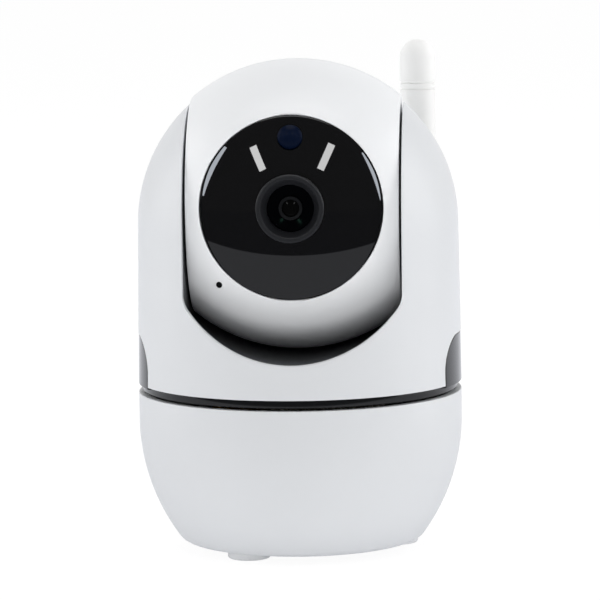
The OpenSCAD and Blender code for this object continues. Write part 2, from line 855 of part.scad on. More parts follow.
module antenna_sleeve() {
  color("white") at_antenna() difference() {
    union() {
      translate([0, 0, antenna_neck_l]) cylinder(h = antenna_l - antenna_r - antenna_neck_l, r = antenna_r);
      translate([0, 0, antenna_l - antenna_r]) sphere(r = antenna_r);
    }
    translate([0, 0, antenna_neck_l - over])
      cylinder(h = antenna_l - antenna_neck_l - element_tip + 2 * over, r = element_r);
    for (d = groove_from_tip) translate([0, 0, antenna_l - d - groove_w / 2]) difference() {
      cylinder(h = groove_w, r = 2 * antenna_r);
      cylinder(h = groove_w, r = antenna_r - groove_d);
    }
  }
}

module antenna_element() {
  color("goldenrod") at_antenna() translate([0, 0, antenna_neck_l])
    cylinder(h = antenna_l - antenna_neck_l - element_tip, r = element_r);
}

// The head's wall as one closed barrel.
module head_wall_form() {
  difference() {
    barrel(0);
    barrel(head_wall);
  }
}

// Copies of the children on the axes of the head's four screw posts.
module at_head_posts() {
  for (x = [-1, 1], z = [-1, 1]) translate([x * head_post_x, 0, z * head_post_z]) children();
}

// The microphone's capsule behind its hole, grown by a gap for its pocket.
module mic_capsule(gap) {
  on_barrel(mic_elevation, mic_swing)
    along_y(-profile_r + head_wall + mic_sink - gap, mic_capsule_t + 2 * gap, mic_capsule_r + gap);
}

module head_front() {
  color("white") in_head() difference() {
    union() {
      intersection() {
        head_wall_form();
        translate([-far, -far, -far]) cube([2 * far, far - parting_y, 2 * far]);
      }
      intersection() {
        barrel(head_wall / 2);
        difference() {
          along_y(-seat_y, seat_t, face_r + seat_rim_w);
          along_y(-far, 2 * far, face_r - seat_w);
        }
      }
      intersection() {
        barrel(head_wall / 2);
        at_head_posts() along_y(-far, far - parting_y, head_post_r);
      }
    }
    along_y(-far, far - seat_y, face_r + seat_gap);
    along_y(-led_board_y, led_board_t + led_board_play, led_board_r + seat_gap);
    on_barrel(mic_elevation, mic_swing) along_y(-profile_r - over, mic_hole_l, mic_r);
    mic_capsule(seat_gap);
    at_head_posts() along_y(head_screw_back_y - head_screw_l, head_screw_l, screw_r);
    along_x(0, far, trunnion_r);
    along_x(-far, far, stub_r + bush_t);
  }
}

module head_rear() {
  color("white") in_head() difference() {
    union() {
      intersection() {
        head_wall_form();
        translate([-far, -parting_y, -far]) cube([2 * far, far, 2 * far]);
      }
      intersection() {
        barrel(head_wall / 2);
        at_head_posts() along_y(-parting_y, far, head_post_r);
      }
      intersection() {
        barrel(head_wall / 2);
        translate([-rib_x, 0, 0]) rotate([tilt_motor_angle, 0, 0])
          translate([0, tilt_gear_pitch_r - rib_edge, -motor_ear_half - motor_ear_end])
          cube([rib_t, far, 2 * (motor_ear_half + motor_ear_end)]);
      }
    }
    at_head_posts() {
      along_y(-parting_y - over, far, screw_r);
      along_y(head_screw_back_y, far, screw_head_r + seat_gap);
    }
    at_tilt_motor() cylinder(h = far, r = tilt_pinion_pitch_r + pinion_hole_gap, center = true);
    at_tilt_motor() for (s = [-1, 1]) translate([-motor_offset, s * motor_ear_half, -over])
      cylinder(h = rib_t + 2 * over, r = screw_r);
    on_barrel(card_elevation, 0) translate([-card_slot_w / 2, -far, -card_slot_t / 2])
      cube([card_slot_w, far - card_d, card_slot_t]);
    on_barrel(card_elevation, reset_swing) along_y(-far, far - tilt_rise, reset_r + run_gap);
    along_x(0, far, trunnion_r);
    along_x(-far, far, stub_r + bush_t);
  }
}

module head_screws() {
  color("silver") in_head() at_head_posts() translate([0, head_screw_back_y, 0])
    rotate([-90, 0, 0]) screw(head_screw_l);
}

module face_window() {
  color("black") in_head() difference() {
    intersection() {
      translate([0, -face_center_y, 0]) sphere(r = face_dome_r);
      along_y(-far, far - seat_y, face_r);
    }
    difference() {
      translate([0, -face_center_y, 0]) sphere(r = face_inner_r);
      difference() {
        along_y(-face_rim_y, far, face_r + over);
        along_y(-far, 2 * far, face_r - seat_w + face_proud);
      }
    }
    along_y(-far, 2 * far, bezel_r + seat_gap);
    translate([0, 0, sensor_rise]) along_y(-far, 2 * far, sensor_r + seat_gap);
  }
}

module lens_bezel() {
  color("dimgray") in_head() rotate([90, 0, 0]) rotate_extrude() polygon([
    [lens_r + seat_gap, bezel_back_y], [bezel_flange_r, bezel_back_y], [bezel_flange_r, bezel_flange_y],
    [bezel_r, bezel_flange_y], [bezel_r, bezel_front_y - bezel_chamfer],
    [bezel_r - bezel_chamfer, bezel_front_y],
    [bezel_mouth_r, bezel_front_y], [lens_r + seat_gap, lens_front_y + lens_lip]
  ]);
}

module lens_barrel() {
  color("black") in_head() difference() {
    along_y(-lens_front_y, lens_front_y - lens_back_y, lens_r);
    along_y(-lens_front_y - over, over + lens_recess, glass_r + lens_ring_w);
    along_y(-far, 2 * far, glass_r - lens_stop_w);
  }
}

module lens_ring() {
  color("dimgray") in_head() difference() {
    along_y(-lens_front_y - lens_ring_proud, lens_ring_t, glass_r + lens_ring_w);
    along_y(-far, 2 * far, glass_r - lens_stop_w / 2);
  }
}

module lens_glass() {
  color("midnightblue") in_head() along_y(-lens_front_y + lens_ring_t - lens_ring_proud, glass_t, glass_r);
}

module lens_holder() {
  sensor_room = 2 * (image_sensor_half_w + image_sensor_gap);
  color("dimgray") in_head() difference() {
    front_block(2 * holder_half_w, 2 * holder_half_w, sensor_board_y, holder_front_y);
    along_y(-far, far - lens_back_y, lens_r);
    front_block(sensor_room, sensor_room, sensor_board_y - over, lens_back_y + run_gap);
  }
}

module sensor_board() {
  color("darkgreen") in_head()
    front_block(2 * sensor_board_half_w, 2 * sensor_board_half_w, sensor_board_back_y, sensor_board_y);
}

module image_sensor() {
  color("slategray") in_head()
    front_block(2 * image_sensor_half_w, 2 * image_sensor_half_w, sensor_board_y,
      sensor_board_y + image_sensor_t);
}

module led_board() {
  color("darkgreen") in_head() difference() {
    along_y(-led_board_y, led_board_t, led_board_r);
    along_y(-far, 2 * far, bezel_flange_r);
    mic_capsule(seat_gap);
  }
}

module infrared_leds() {
  color("lightsteelblue") in_head() for (a = led_angles) rotate([0, a, 0]) translate([led_ring_r, 0, 0]) {
    along_y(-led_board_y - led_l, led_l, led_r);
    translate([0, -led_board_y - led_l, 0]) intersection() {
      sphere(r = led_r);
      translate([-far, -far, -far]) cube([2 * far, far, 2 * far]);
    }
  }
}

module board_spacers() {
  color("goldenrod") in_head() for (x = [-1, 1], z = [-1, 1]) translate([x * spacer_at, 0, z * spacer_at])
    along_y(-led_board_back_y, led_board_back_y - sensor_board_y, spacer_r);
}

module sensor_dome() {
  drop = sqrt(sensor_dome_curve_r * sensor_dome_curve_r - sensor_r * sensor_r);
  color("midnightblue") in_head() translate([0, 0, sensor_rise]) rotate([90, 0, 0]) rotate_extrude() {
    translate([0, led_board_y]) square([sensor_r, sensor_seat_y - led_board_y]);
    intersection() {
      translate([0, sensor_seat_y - drop]) circle(r = sensor_dome_curve_r);
      translate([0, sensor_seat_y]) square([sensor_r, sensor_dome_curve_r]);
    }
  }
}

module microphone() color("silver") in_head() mic_capsule(0);

module trunnion() {
  color("silver") in_head() difference() {
    union() {
      along_x(head_half_w - head_wall, head_wall + slot_gap + cradle_t + bush_flange_t + trunnion_end,
        trunnion_r);
      along_x(head_half_w - head_wall - trunnion_flange_t, trunnion_flange_t, trunnion_r + trunnion_flange_w);
    }
    along_x(0, far, trunnion_bore_r);
  }
}

module head_bush() {
  color("ivory") in_head() difference() {
    union() {
      along_x(-head_half_w, head_wall, stub_r + bush_t);
      along_x(-head_half_w + head_wall, bush_flange_t, stub_r + bush_t + bush_flange_w);
    }
    along_x(-far, far, stub_r + run_gap);
  }
}

module tilt_motor() color("lightgray") in_head() at_tilt_motor() stepper(tilt_motor_l);

module tilt_motor_screws() {
  color("silver") in_head() at_tilt_motor() for (s = [-1, 1])
    translate([-motor_offset, s * motor_ear_half, rib_t]) screw(rib_t + motor_ear_t + over);
}

module card_board() {
  color("darkgreen") in_head() on_barrel(card_elevation, 0)
    translate([-card_board_half_w, -profile_r + head_wall + card_board_set_in, card_t / 2])
    cube([2 * card_board_half_w, card_board_d, board_t]);
}

module card_socket() {
  color("silver") in_head() on_barrel(card_elevation, 0) difference() {
    translate([-card_w / 2, -profile_r + head_wall + card_set_in, -card_t / 2])
      cube([card_w, card_d, card_t]);
    translate([-card_slot_w / 2, -far, -card_slot_t / 2])
      cube([card_slot_w, far - profile_r + card_d, card_slot_t]);
  }
}

module reset_switch() {
  color("dimgray") in_head() on_barrel(card_elevation, reset_swing)
    translate([-reset_switch_w / 2, reset_flange_t + reset_travel + play - reset_seat_y, -reset_switch_w / 2])
    cube([reset_switch_w, reset_switch_t, reset_switch_w]);
}

module tilt_shaft() {
  color("silver") in_head() at_tilt_motor() translate([0, 0, -shaft_in])
    cylinder(h = shaft_in + rib_t + rib_gap + tilt_gear_t, r = tilt_shaft_r);
}

module tilt_pinion() {
  color("goldenrod") in_head() at_tilt_motor() difference() {
    translate([0, 0, rib_t + rib_gap + play]) rotate([0, 0, 180 + 180 / tilt_pinion_teeth])
      spur(tilt_module, tilt_pinion_teeth, tilt_gear_t - 2 * play);
    cylinder(h = far, r = tilt_shaft_r);
  }
}

module reset_button() {
  color("dimgray") in_head() on_barrel(card_elevation, reset_swing) {
    along_y(-profile_r + reset_sink, head_wall - reset_sink + play, reset_r);
    along_y(-reset_seat_y, reset_flange_t, reset_flange_r);
  }
}

base_cup();
base_plate();
feet();
base_screws();
tripod_insert();
power_board();
usb_socket();
motor_deck();
deck_screws();
pan_motor();
pan_motor_screws();
pan_washer();
pan_shaft();
pan_pinion();
turntable();
pan_gear();
hub_retainer();
retainer_screws();
trim_ring();
front_shell();
rear_shell();
shell_screws();
cradle();
cradle_screws();
main_board();
processor();
speaker();
tilt_stub();
tilt_gear();
tilt_bush();
antenna_pivot();
antenna_knuckle();
antenna_sleeve();
antenna_element();
head_front();
head_rear();
head_screws();
face_window();
lens_bezel();
lens_barrel();
lens_ring();
lens_glass();
lens_holder();
sensor_board();
image_sensor();
led_board();
infrared_leds();
board_spacers();
sensor_dome();
microphone();
trunnion();
head_bush();
tilt_motor();
tilt_motor_screws();
card_board();
card_socket();
reset_switch();
tilt_shaft();
tilt_pinion();
reset_button();
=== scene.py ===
"""Pan and tilt baby monitor camera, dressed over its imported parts.

A white bowl base carries a domed body that pans on a black trim ring. A white barrel
head with a smoked face window tilts in the body's slot. Sizes are in mm, front is -Y.
"""
import math

import bmesh
import bpy
import numpy as np
from mathutils import Matrix, Vector


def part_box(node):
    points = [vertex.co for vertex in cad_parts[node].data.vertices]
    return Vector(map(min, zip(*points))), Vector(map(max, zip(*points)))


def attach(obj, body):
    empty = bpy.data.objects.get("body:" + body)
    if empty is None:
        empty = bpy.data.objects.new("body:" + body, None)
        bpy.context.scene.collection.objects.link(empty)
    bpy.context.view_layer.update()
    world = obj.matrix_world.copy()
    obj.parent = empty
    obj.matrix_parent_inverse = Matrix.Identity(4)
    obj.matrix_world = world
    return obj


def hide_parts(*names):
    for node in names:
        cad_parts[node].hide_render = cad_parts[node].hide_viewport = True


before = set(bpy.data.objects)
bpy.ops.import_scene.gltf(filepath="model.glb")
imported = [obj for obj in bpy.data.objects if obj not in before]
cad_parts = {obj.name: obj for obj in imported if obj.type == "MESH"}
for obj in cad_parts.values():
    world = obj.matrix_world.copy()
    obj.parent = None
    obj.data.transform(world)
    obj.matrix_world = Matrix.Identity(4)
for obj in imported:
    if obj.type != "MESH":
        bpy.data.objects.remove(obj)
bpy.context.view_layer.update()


# Base cup
# A bowl moulded in white ABS, straight under its rim and rounded at its foot. The tool's spark-eroded
# texture leaves it satin. A window at the back lets the power plug in, and three shallow recesses take the feet.
MM = 0.001


def span(node):
    """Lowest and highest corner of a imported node, in mm."""
    low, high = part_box(node)
    return np.array(low) / MM, np.array(high) / MM


def linear(colour):
    """sRGB hex to linear RGBA: c / 12.92 for a dark channel, else ((c + 0.055) / 1.055) to the power 2.4."""
    c = np.array([int(colour[i:i + 2], 16) for i in (1, 3, 5)]) / 255
    return (*np.where(c < 0.04045, c / 12.92, ((c + 0.055) / 1.055) ** 2.4), 1.0)


def add(tree, kind, inputs=(), **settings):
    """Adds one shader node: settings are its own properties, inputs are plain values or links. A link comes from a
    socket, or from a node's first output."""
    node = tree.nodes.new("ShaderNode" + kind)
    for key, value in settings.items():
        setattr(node, key, value)
    for key, value in dict(inputs).items():
        value = value.outputs[0] if isinstance(value, bpy.types.Node) else value
        if isinstance(value, bpy.types.NodeSocket):
            tree.links.new(value, node.inputs[key])
        else:
            node.inputs[key].default_value = value
    return node


def ramp(tree, value, start, end, low, high):
    """A value carried in a straight line from one range to another and held at both ends."""
    return add(tree, "MapRange", {"Value": value, "From Min": start, "From Max": end, "To Min": low, "To Max": high})


def surfaced(name, shades, roughness, grain_mm=0.4, depth_mm=0.002, cloud_mm=25, stretch=(1, 1, 1), **constants):
    """A material whose colour drifts between two shades over `cloud_mm`. Its grain of `grain_mm` sways the
    roughness by an eighth and stands `depth_mm` high; constants go straight onto the shader's sockets."""
    material = bpy.data.materials.new(name)
    material.use_nodes = True
    tree = material.node_tree
    shader = tree.nodes["Principled BSDF"]
    for key, value in constants.items():
        shader.inputs[key.replace("_", " ")].default_value = value
    place = add(tree, "TexCoord").outputs["Object"]
    drawn = add(tree, "Mapping", {"Vector": place, "Scale": stretch})
    cloud = add(tree, "TexNoise", {"Vector": place, "Scale": 1 / (cloud_mm * MM), "Detail": 3.0})
    tint = add(tree, "Mix", {"Factor": cloud}, data_type="RGBA")
    tint.inputs["A"].default_value, tint.inputs["B"].default_value = map(linear, shades)
    grain = add(tree, "TexNoise", {"Vector": drawn, "Scale": 1 / (grain_mm * MM), "Detail": 2.0})
    rough = ramp(tree, grain, 0.3, 0.7, roughness * 0.875, roughness * 1.125)
    bump = add(tree, "Bump", {"Height": grain, "Distance": depth_mm * MM})
    tree.links.new(tint.outputs["Result"], shader.inputs["Base Color"])
    tree.links.new(rough.outputs["Result"], shader.inputs["Roughness"])
    tree.links.new(bump.outputs["Normal"], shader.inputs["Normal"])
    return material


def lay(*columns):
    """Points from their coordinates side by side, each spread to the shape of them all."""
    return np.stack(np.broadcast_arrays(*columns), axis=-1)


def join(*rows):
    """Rows one after another."""
    return np.concatenate(rows)


def arc(cx, cy, r, start, end, steps=24):
    """Points of a circle about (cx, cy) from one angle to another, in degrees."""
    a = np.radians(np.linspace(start, end, steps + 1))
    return lay(cx + r * np.cos(a), cy + r * np.sin(a))


def rounded(corners, radii, steps=5):
    """Outline through the corners, each turned by an arc of its own radius that touches both its sides."""
    corners = np.asarray(corners, float)
    outline = []
    for i, (corner, r) in enumerate(zip(corners, radii)):
        if r == 0:
            outline.append(corner[None])
            continue
        a = corners[i - 1] - corner
        b = corners[(i + 1) % len(corners)] - corner
        a, b = a / np.linalg.norm(a), b / np.linalg.norm(b)
        middle = (a + b) / np.linalg.norm(a + b)
        half = np.arccos(a @ middle)
        centre = corner + middle * r / np.sin(half)
        first, last = corner + a * r / np.tan(half) - centre, corner + b * r / np.tan(half) - centre
        swing = np.pi - 2 * half
        t = np.linspace(0, swing, steps + 1)[:, None]
        outline.append(centre + (np.sin(swing - t) * first + np.sin(t) * last) / np.sin(swing))
    return join(*outline)


def quads(rows, columns, wrap_rows=False, wrap_columns=False):
    """Corner numbers of a grid's four-sided faces, joined round where a direction wraps."""
    r = np.arange(rows if wrap_rows else rows - 1)[:, None]
    c = np.arange(columns if wrap_columns else columns - 1)[None, :]
    down, along = (r + 1) % rows, (c + 1) % columns
    return lay(r * columns + c, r * columns + along, down * columns + along, down * columns + c).reshape(-1, 4)


def woven(grid, wrap_rows=False, wrap_columns=False):
    """A surface over a grid of points: all its points and its four-sided faces."""
    return grid.reshape(-1, 3), quads(*grid.shape[:2], wrap_rows, wrap_columns)


def around(steps):
    """Angles at even steps round a circle, one to a row."""
    return np.linspace(0, 2 * np.pi, steps, endpoint=False)[:, None]


def unit(vectors):
    """Vectors brought to length 1."""
    return vectors / np.linalg.norm(vectors, axis=-1, keepdims=True)


def polar(r, t, z):
    """Points from their radius, angle and height: (r cos t, r sin t, z)."""
    return lay(r * np.cos(t), r * np.sin(t), z)


def lathe(profile, steps=96):
    """A profile (r, z) turned about Z."""
    r, z = np.asarray(profile, float).T
    return woven(polar(r, around(steps), z), wrap_rows=True)


def closed(profile):
    """A profile that ends where it starts."""
    return join(profile, profile[:1])


weld_gap = 0.003


def merged(surfaces):
    """Several surfaces as one: all their points, and their faces with the corner numbers moved on to match."""
    firsts = np.cumsum([0] + [len(points) for points, _ in surfaces])
    faces = [corners + first for (_, corners), first in zip(surfaces, firsts)]
    return join(*(points for points, _ in surfaces)), join(*faces)


def solid(name, surfaces):
    """An object from closed surfaces in mm: equal points are welded and all faces turned outwards."""
    points, faces = merged(surfaces)
    mesh = bpy.data.meshes.new(name)
    mesh.from_pydata((points * MM).tolist(), [], faces.tolist())
    form = bmesh.new()
    form.from_mesh(mesh)
    bmesh.ops.remove_doubles(form, verts=form.verts, dist=weld_gap * MM)
    bmesh.ops.recalc_face_normals(form, faces=form.faces)
    form.to_mesh(mesh)
    form.free()
    made = bpy.data.objects.new(name, mesh)
    bpy.context.scene.collection.objects.link(made)
    return made


def piece(name, surfaces, material, body, slot, *nodes, holes=(), crease=40):
    """A piece that rides on a body in place of the named nodes, with closed surfaces taken out as holes.
    It is shaded smooth, except across edges sharper than the crease."""
    made = solid(name, surfaces)
    if holes:
        cutter = solid("cutter", holes)
        modifier = made.modifiers.new("holes", "BOOLEAN")
        modifier.operation, modifier.solver, modifier.object = "DIFFERENCE", "MANIFOLD", cutter
        shown = made.evaluated_get(bpy.context.evaluated_depsgraph_get())
        made.data = bpy.data.meshes.new_from_object(shown)
        made.modifiers.clear()
        bpy.data.objects.remove(cutter)
    made.data.shade_smooth()
    made.data.set_sharp_from_angle(angle=math.radians(crease))
    made.data.materials.clear()
    made.data.materials.append(material)
    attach(made, body)
    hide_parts(*nodes)


def prism(outline, back, front):
    """A closed outline (x, z) carried along Y from back to front."""
    walls = np.stack([lay(outline[:, 0], y, outline[:, 1]) for y in (back, front)])
    caps = walls.mean(axis=1, keepdims=True) + 0 * walls
    return woven(join(caps[:1], walls, caps[1:]), wrap_columns=True)


def rectangle(left, right, low, top):
    """Corners of an upright rectangle, anticlockwise from the lower left."""
    return [(left, low), (right, low), (right, top), (left, top)]


def oblong(half, low, top, r):
    """Outline (x, z) of an upright rectangle about x = 0, its corners turned by one radius."""
    return rounded(rectangle(-half, half, low, top), (r, r, r, r))


def bar(r, start, end):
    """Profile (r, z) of a plain round bar between two distances."""
    return rectangle(0, r, start, end)


def moved(surface, move):
    """A surface whose points have gone through a move."""
    points, faces = surface
    return move(points), faces


def copies(surface, places):
    """The same surface at each of the places."""
    return [moved(surface, lambda points: points + place) for place in places]


# ABS off a finely eroded tool: satin and slightly cool. The grain is under 0.1 mm and is drawn at 0.4 mm.
white_abs = surfaced("white ABS, moulded satin", ("#D6D8DB", "#DADCDF"), roughness=0.38, IOR=1.53)

base_low, base_high = span("base_cup")
base_r, foot_z, rim_z = base_high[0], base_low[2], base_high[2]
bowl_r, band_h, foot_fillet, cup_wall, rim_fillet, rim_drop = 50, 7, 3.5, 2, 0.15, 0.2
bowl_x, bowl_z = base_r - bowl_r, rim_z - band_h
bowl_end = math.degrees(math.asin((bowl_z - foot_z - foot_fillet) / (bowl_r - foot_fillet)))
fillet_x = bowl_x + (bowl_r - foot_fillet) * math.cos(math.radians(bowl_end))
plate_r, plate_t, plate_gap = span("base_plate")[1][0], 2, 0.1
lip_r = plate_r + plate_gap
cup_profile = join(
    rounded([(base_r - cup_wall, rim_z - rim_drop), (base_r, rim_z - rim_drop), (base_r, bowl_z)],
            (0, rim_fillet, 0)),
    arc(bowl_x, bowl_z, bowl_r, 0, -bowl_end, 40),
    arc(fillet_x, foot_z + foot_fillet, foot_fillet, -bowl_end, -90, 12),
    [(lip_r, foot_z), (lip_r, foot_z + plate_t)],
    arc(bowl_x, bowl_z, bowl_r - cup_wall, 2 - bowl_end, 0, 30),
)
usb_low, usb_high = span("usb_socket")
plug_room = 0.8
window = oblong(usb_high[0] + plug_room, usb_low[2] - plug_room, usb_high[2] + plug_room, 1)
foot_r, foot_gap, (pad_end, _, foot_top) = 5.3, 0.05, span("feet")[1]
pad_places = polar(pad_end - foot_r, np.radians((0, 120, 240)), 0)
recess = lathe(bar(foot_r + foot_gap, 0, foot_top), 64)
piece("base_cup_bowl", [lathe(closed(cup_profile), 256)], white_abs, "base", "white_abs", "base_cup",
      holes=[prism(window, usb_high[1] - 1, base_r), *copies(recess, pad_places)])


# Feet
# Three pads of pale silicone rubber, glued into the round recesses of the base plate and the cup's lip. The
# press-moulded edge is rounded and the sole is crowned a little, so that each pad grips at its middle.
silicone = surfaced("silicone rubber, moulded pale grey", ("#DADCDE", "#E1E2E4"), roughness=0.6, grain_mm=0.3,
                    depth_mm=0.004, IOR=1.41)
foot_edge = 0.7
pad = join(
    [(0, foot_top), (foot_r, foot_top)],
    arc(foot_r - foot_edge, foot_edge + 0.02, foot_edge, 0, -85, 8),
    [(foot_r / 2, 0.01), (0, 0)],
)
piece("foot_pads", copies(lathe(pad, 64), pad_places), silicone, "base", "silicone", "feet")


# Base plate and its screws
# A flat ABS cover screwed up into the cup from below, with three cross-recess pan-head screws of zinc-plated
# steel sunk in its counterbores.
screw_head_r, screw_head_h, screw_edge, crown_drop, shank_r, shank_tip = 1.9, 1.2, 0.35, 0.18, 1, 0.3
cross_half, cross_reach, cross_depth, cross_slope, cross_turn = 0.28, 1.15, 0.8, 8, 0.4


def screw(length):
    """A pan-head screw, its head down from z = 0: a polar grid of rows (r, z), with a cross sunk into the crown. The
    cross gets deeper from its arms' edges inwards, down to its full depth."""
    crown = np.linspace(0, screw_head_r - screw_edge, 26)
    edge = arc(screw_head_r - screw_edge, screw_head_h - 0.5, screw_edge, 65, 0, 6)
    r = join(crown, edge[:, 0], [screw_head_r, shank_r, shank_r, shank_r - shank_tip, 0])
    z = join(screw_head_h - crown_drop * (crown / screw_head_r) ** 2, edge[:, 1],
             [0, 0, 2 * shank_tip - length, -length, -length])
    t = around(72)
    x, y = abs(r * np.cos(t - cross_turn)), abs(r * np.sin(t - cross_turn))
    arm = np.maximum(np.minimum(cross_half - x, cross_reach - y), np.minimum(cross_half - y, cross_reach - x))
    sunk = np.where(np.arange(len(r)) < len(crown), np.clip(arm * cross_slope, 0, cross_depth), 0)
    return woven(polar(r, t, sunk - z), wrap_rows=True)


def dress(material, *nodes):
    """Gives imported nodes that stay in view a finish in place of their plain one."""
    for node in nodes:
        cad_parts[node].data.materials.clear()
        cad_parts[node].data.materials.append(material)


# Zinc plate on steel: a clear-passivated, slightly clouded grey metal.
zinc_steel = surfaced("steel, zinc plated", ("#A9ABAD", "#C2C4C6"), roughness=0.32, grain_mm=0.25,
                      cloud_mm=1.2, Metallic=1.0)
plate_screw_r, plate_screw_l = plate_r - 2.4, 6
head_seat = span("base_screws")[0][2] + screw_head_h
plate_places = polar(plate_screw_r, np.radians((60, 180, 300)), head_seat)
piece("base_plate_screws", copies(screw(plate_screw_l), plate_places), zinc_steel, "base", "zinc_steel", "base_screws")
dress(white_abs, "base_plate")


# Tripod insert
# A turned brass bush moulded into the base plate, tapped with the quarter-inch thread of a tripod screw:
# twenty turns an inch, cut outwards from the tapping bore.
brass = surfaced("brass, turned", ("#B08A4A", "#C29A56"), roughness=0.28, grain_mm=0.2,
                 cloud_mm=3, stretch=(0.2, 0.2, 1), Metallic=1.0)
insert_low, insert_high = span("tripod_insert")
bore_r, thread_depth, thread_pitch = 2.6, 0.55, 25.4 / 20


def tapped_bush(rows=180, steps=72):
    """Round bush with a helical bore: the bore's radius swells by a triangle wave of height along the pitch,
    shifted by one pitch in each turn."""
    z = join([0, 0], np.linspace(0, 1, rows), [1, 1])
    z = insert_low[2] + z * (insert_high[2] - insert_low[2])
    t = around(steps)
    phase = z / thread_pitch - t / (2 * np.pi)
    r = bore_r + thread_depth * 2 * abs(phase - np.floor(phase) - 0.5)
    r[:, :2] = r[:, -2:] = insert_high[0]
    r[:, 0], r[:, -1] = insert_high[0] - 0.01, insert_high[0] - 0.01
    return woven(polar(r, t, z), wrap_rows=True, wrap_columns=True)


piece("tripod_bush", [tapped_bush()], brass, "base", "brass", "tripod_insert")


# Power inlet
# A micro-USB receptacle folded from thin tinned steel, soldered to the power board behind the cup's window.
# Its mouth narrows downwards and holds the contact tongue.
socket_steel = surfaced("steel, tinned", ("#B9BABB", "#CFCFCE"), roughness=0.25, grain_mm=0.3, depth_mm=0.001,
                        cloud_mm=2, Metallic=1.0)
usb_half, usb_h, usb_shell, usb_taper, usb_end = usb_high[0], usb_high[2] - usb_low[2], 0.35, 1.1, 0.6
tongue_half, tongue_t = 2.4, 0.3


def mouth(inset):
    """The receptacle's outline in x and z, set in by a wall: wide at the top, with two sloped lower corners."""
    w, low, top = usb_half - inset, usb_low[2] + inset, usb_high[2] - inset
    bottom, slope = w - usb_taper, low + usb_h * 0.4
    return rounded([(-bottom, low), (bottom, low), (w, slope), (w, top), (-w, top), (-w, slope)],
                   (0.3, 0.3, 0.3, 0.4, 0.4, 0.3))


def tube(outer, inner, back, front):
    """A tube between two like outlines (x, z), drawn along Y from back to front and open at both ends."""
    loops = [(outer, back), (outer, front), (inner, front), (inner, back)]
    return woven(np.stack([lay(o[:, 0], y, o[:, 1]) for o, y in loops]), wrap_rows=True, wrap_columns=True)


tongue_z = usb_high[2] - usb_h * 0.42
tongue = oblong(tongue_half, tongue_z - tongue_t, tongue_z + tongue_t, 0.1)
piece("power_inlet_shell", [tube(mouth(0), mouth(usb_shell), usb_low[1], usb_high[1]),
                            prism(mouth(usb_shell / 2), usb_low[1], usb_low[1] + usb_end),
                            prism(tongue, usb_low[1] + usb_end / 2, usb_high[1] - usb_end)],
      socket_steel, "base", "zinc_steel", "usb_socket")


# Trim ring and side panels
# One glossy black ABS moulding: a ring in the gap over the base, and an arched panel at each side that stands
# flush in the body. It is moulded in a polished tool, so only faint flow marks break its shine.
black_abs = surfaced("black ABS, polished mould", ("#070809", "#0A0B0D"), roughness=0.1, grain_mm=1.5,
                     depth_mm=0.0015, IOR=1.53)
ring_low, ring_high = span("trim_ring")
body_z = span("front_shell")[0][2]
body_r, dome_r, side_h = 40.4, 39.8, 39.3
dome_z = body_z + side_h
ring_r, ring_in_r, ear_in_r, ear_inset, ear_tuck = 39.3, 36.5, 38.55, 0.1, 0.3
ear_half, ear_top, ear_corner, ear_edge, ear_gap = 16.7, ring_high[2], 8.5, 0.35, 0.1


def body_radius(z):
    """Radius of the body's drafted side at a height."""
    return body_r + (dome_r - body_r) * (z - body_z) / side_h


def ear_panel(side, spokes=40):
    """A curved panel from its middle out to an arched outline (y, z): rows share the spoke from the middle, then
    follow a quarter round over the edge and return on the flat back. x is the depth of the body's side there."""
    low, reach = body_z - ear_tuck, ear_half - ear_corner
    outline = join(
        lay(np.linspace(-ear_half, ear_half, 31), low),
        lay(ear_half, np.linspace(low, ear_top - ear_corner, 8)[1:-1]),
        arc(reach, ear_top - ear_corner, ear_corner, 0, 90, 20)[:-1],
        lay(np.linspace(reach, -reach, 16), ear_top),
        arc(-reach, ear_top - ear_corner, ear_corner, 90, 180, 20)[1:],
        lay(-ear_half, np.linspace(ear_top - ear_corner, low, 8)[1:-1]),
    )
    middle = np.array([0, (low + ear_top) / 2])
    away = outline - middle
    length = np.linalg.norm(away, axis=1, keepdims=True)
    turn = np.linspace(0, np.pi / 2, 6)[:, None, None]
    front = middle + np.linspace(0, 1, spokes)[:, None, None] * away * (1 - ear_edge / length)
    edge = outline - away / length * ear_edge * (1 - np.sin(turn))
    flat = join(front, edge[1:], outline[None], middle + 0 * outline[None])
    sunk = join(np.zeros(spokes), ear_edge * (1 - np.cos(turn.ravel()[1:])), [0, 0])[:, None]
    y, z = flat[..., 0], flat[..., 1]
    x = np.sqrt((body_radius(z) - ear_inset - sunk) ** 2 - y ** 2)
    x[-2:] = np.sqrt(ear_in_r ** 2 - y[-2:] ** 2)
    return woven(lay(side * x, y, z), wrap_columns=True)


ring_profile = rounded(rectangle(ring_in_r, ring_r, ring_low[2], body_z), (0.2, 0.3, 0.1, 0.2))
piece("trim_ring_and_panels", [lathe(closed(ring_profile), 256), ear_panel(1), ear_panel(-1)], black_abs, "body",
      "black_abs", "trim_ring")


# Front shell
# The front half of the body in white ABS. A wide U is cut through it for the head, and its lip is rolled over
# softly; the slot's upright edges are tighter. It meets the rear shell on a fine seam over the sides.
body_wall = 1.8
slot_x = span("head_front")[1][0] + 0.6
u_r, u_z, u_corner, u_split = 32, dome_z + 1.2, 6, 14
slot_round, lip_w, lip_depth, seam_round, hem_round, hem_gap = 0.35, 3.3, 1.45, 0.25, 0.1, 0.2


def body_skin(turn, climb, inset=0.0):
    """Point of the body's face at a turn from the front and a climb in mm, up the drafted side and on over the
    dome, set in by an inset."""
    lift = np.maximum(climb - side_h, 0) / dome_r
    share = np.minimum(climb / side_h, 1)
    r = body_r + (dome_r - body_r) * share - inset
    return lay(r * np.cos(lift) * np.sin(turn), -r * np.cos(lift) * np.cos(turn),
               body_z + side_h * share + r * np.sin(lift))


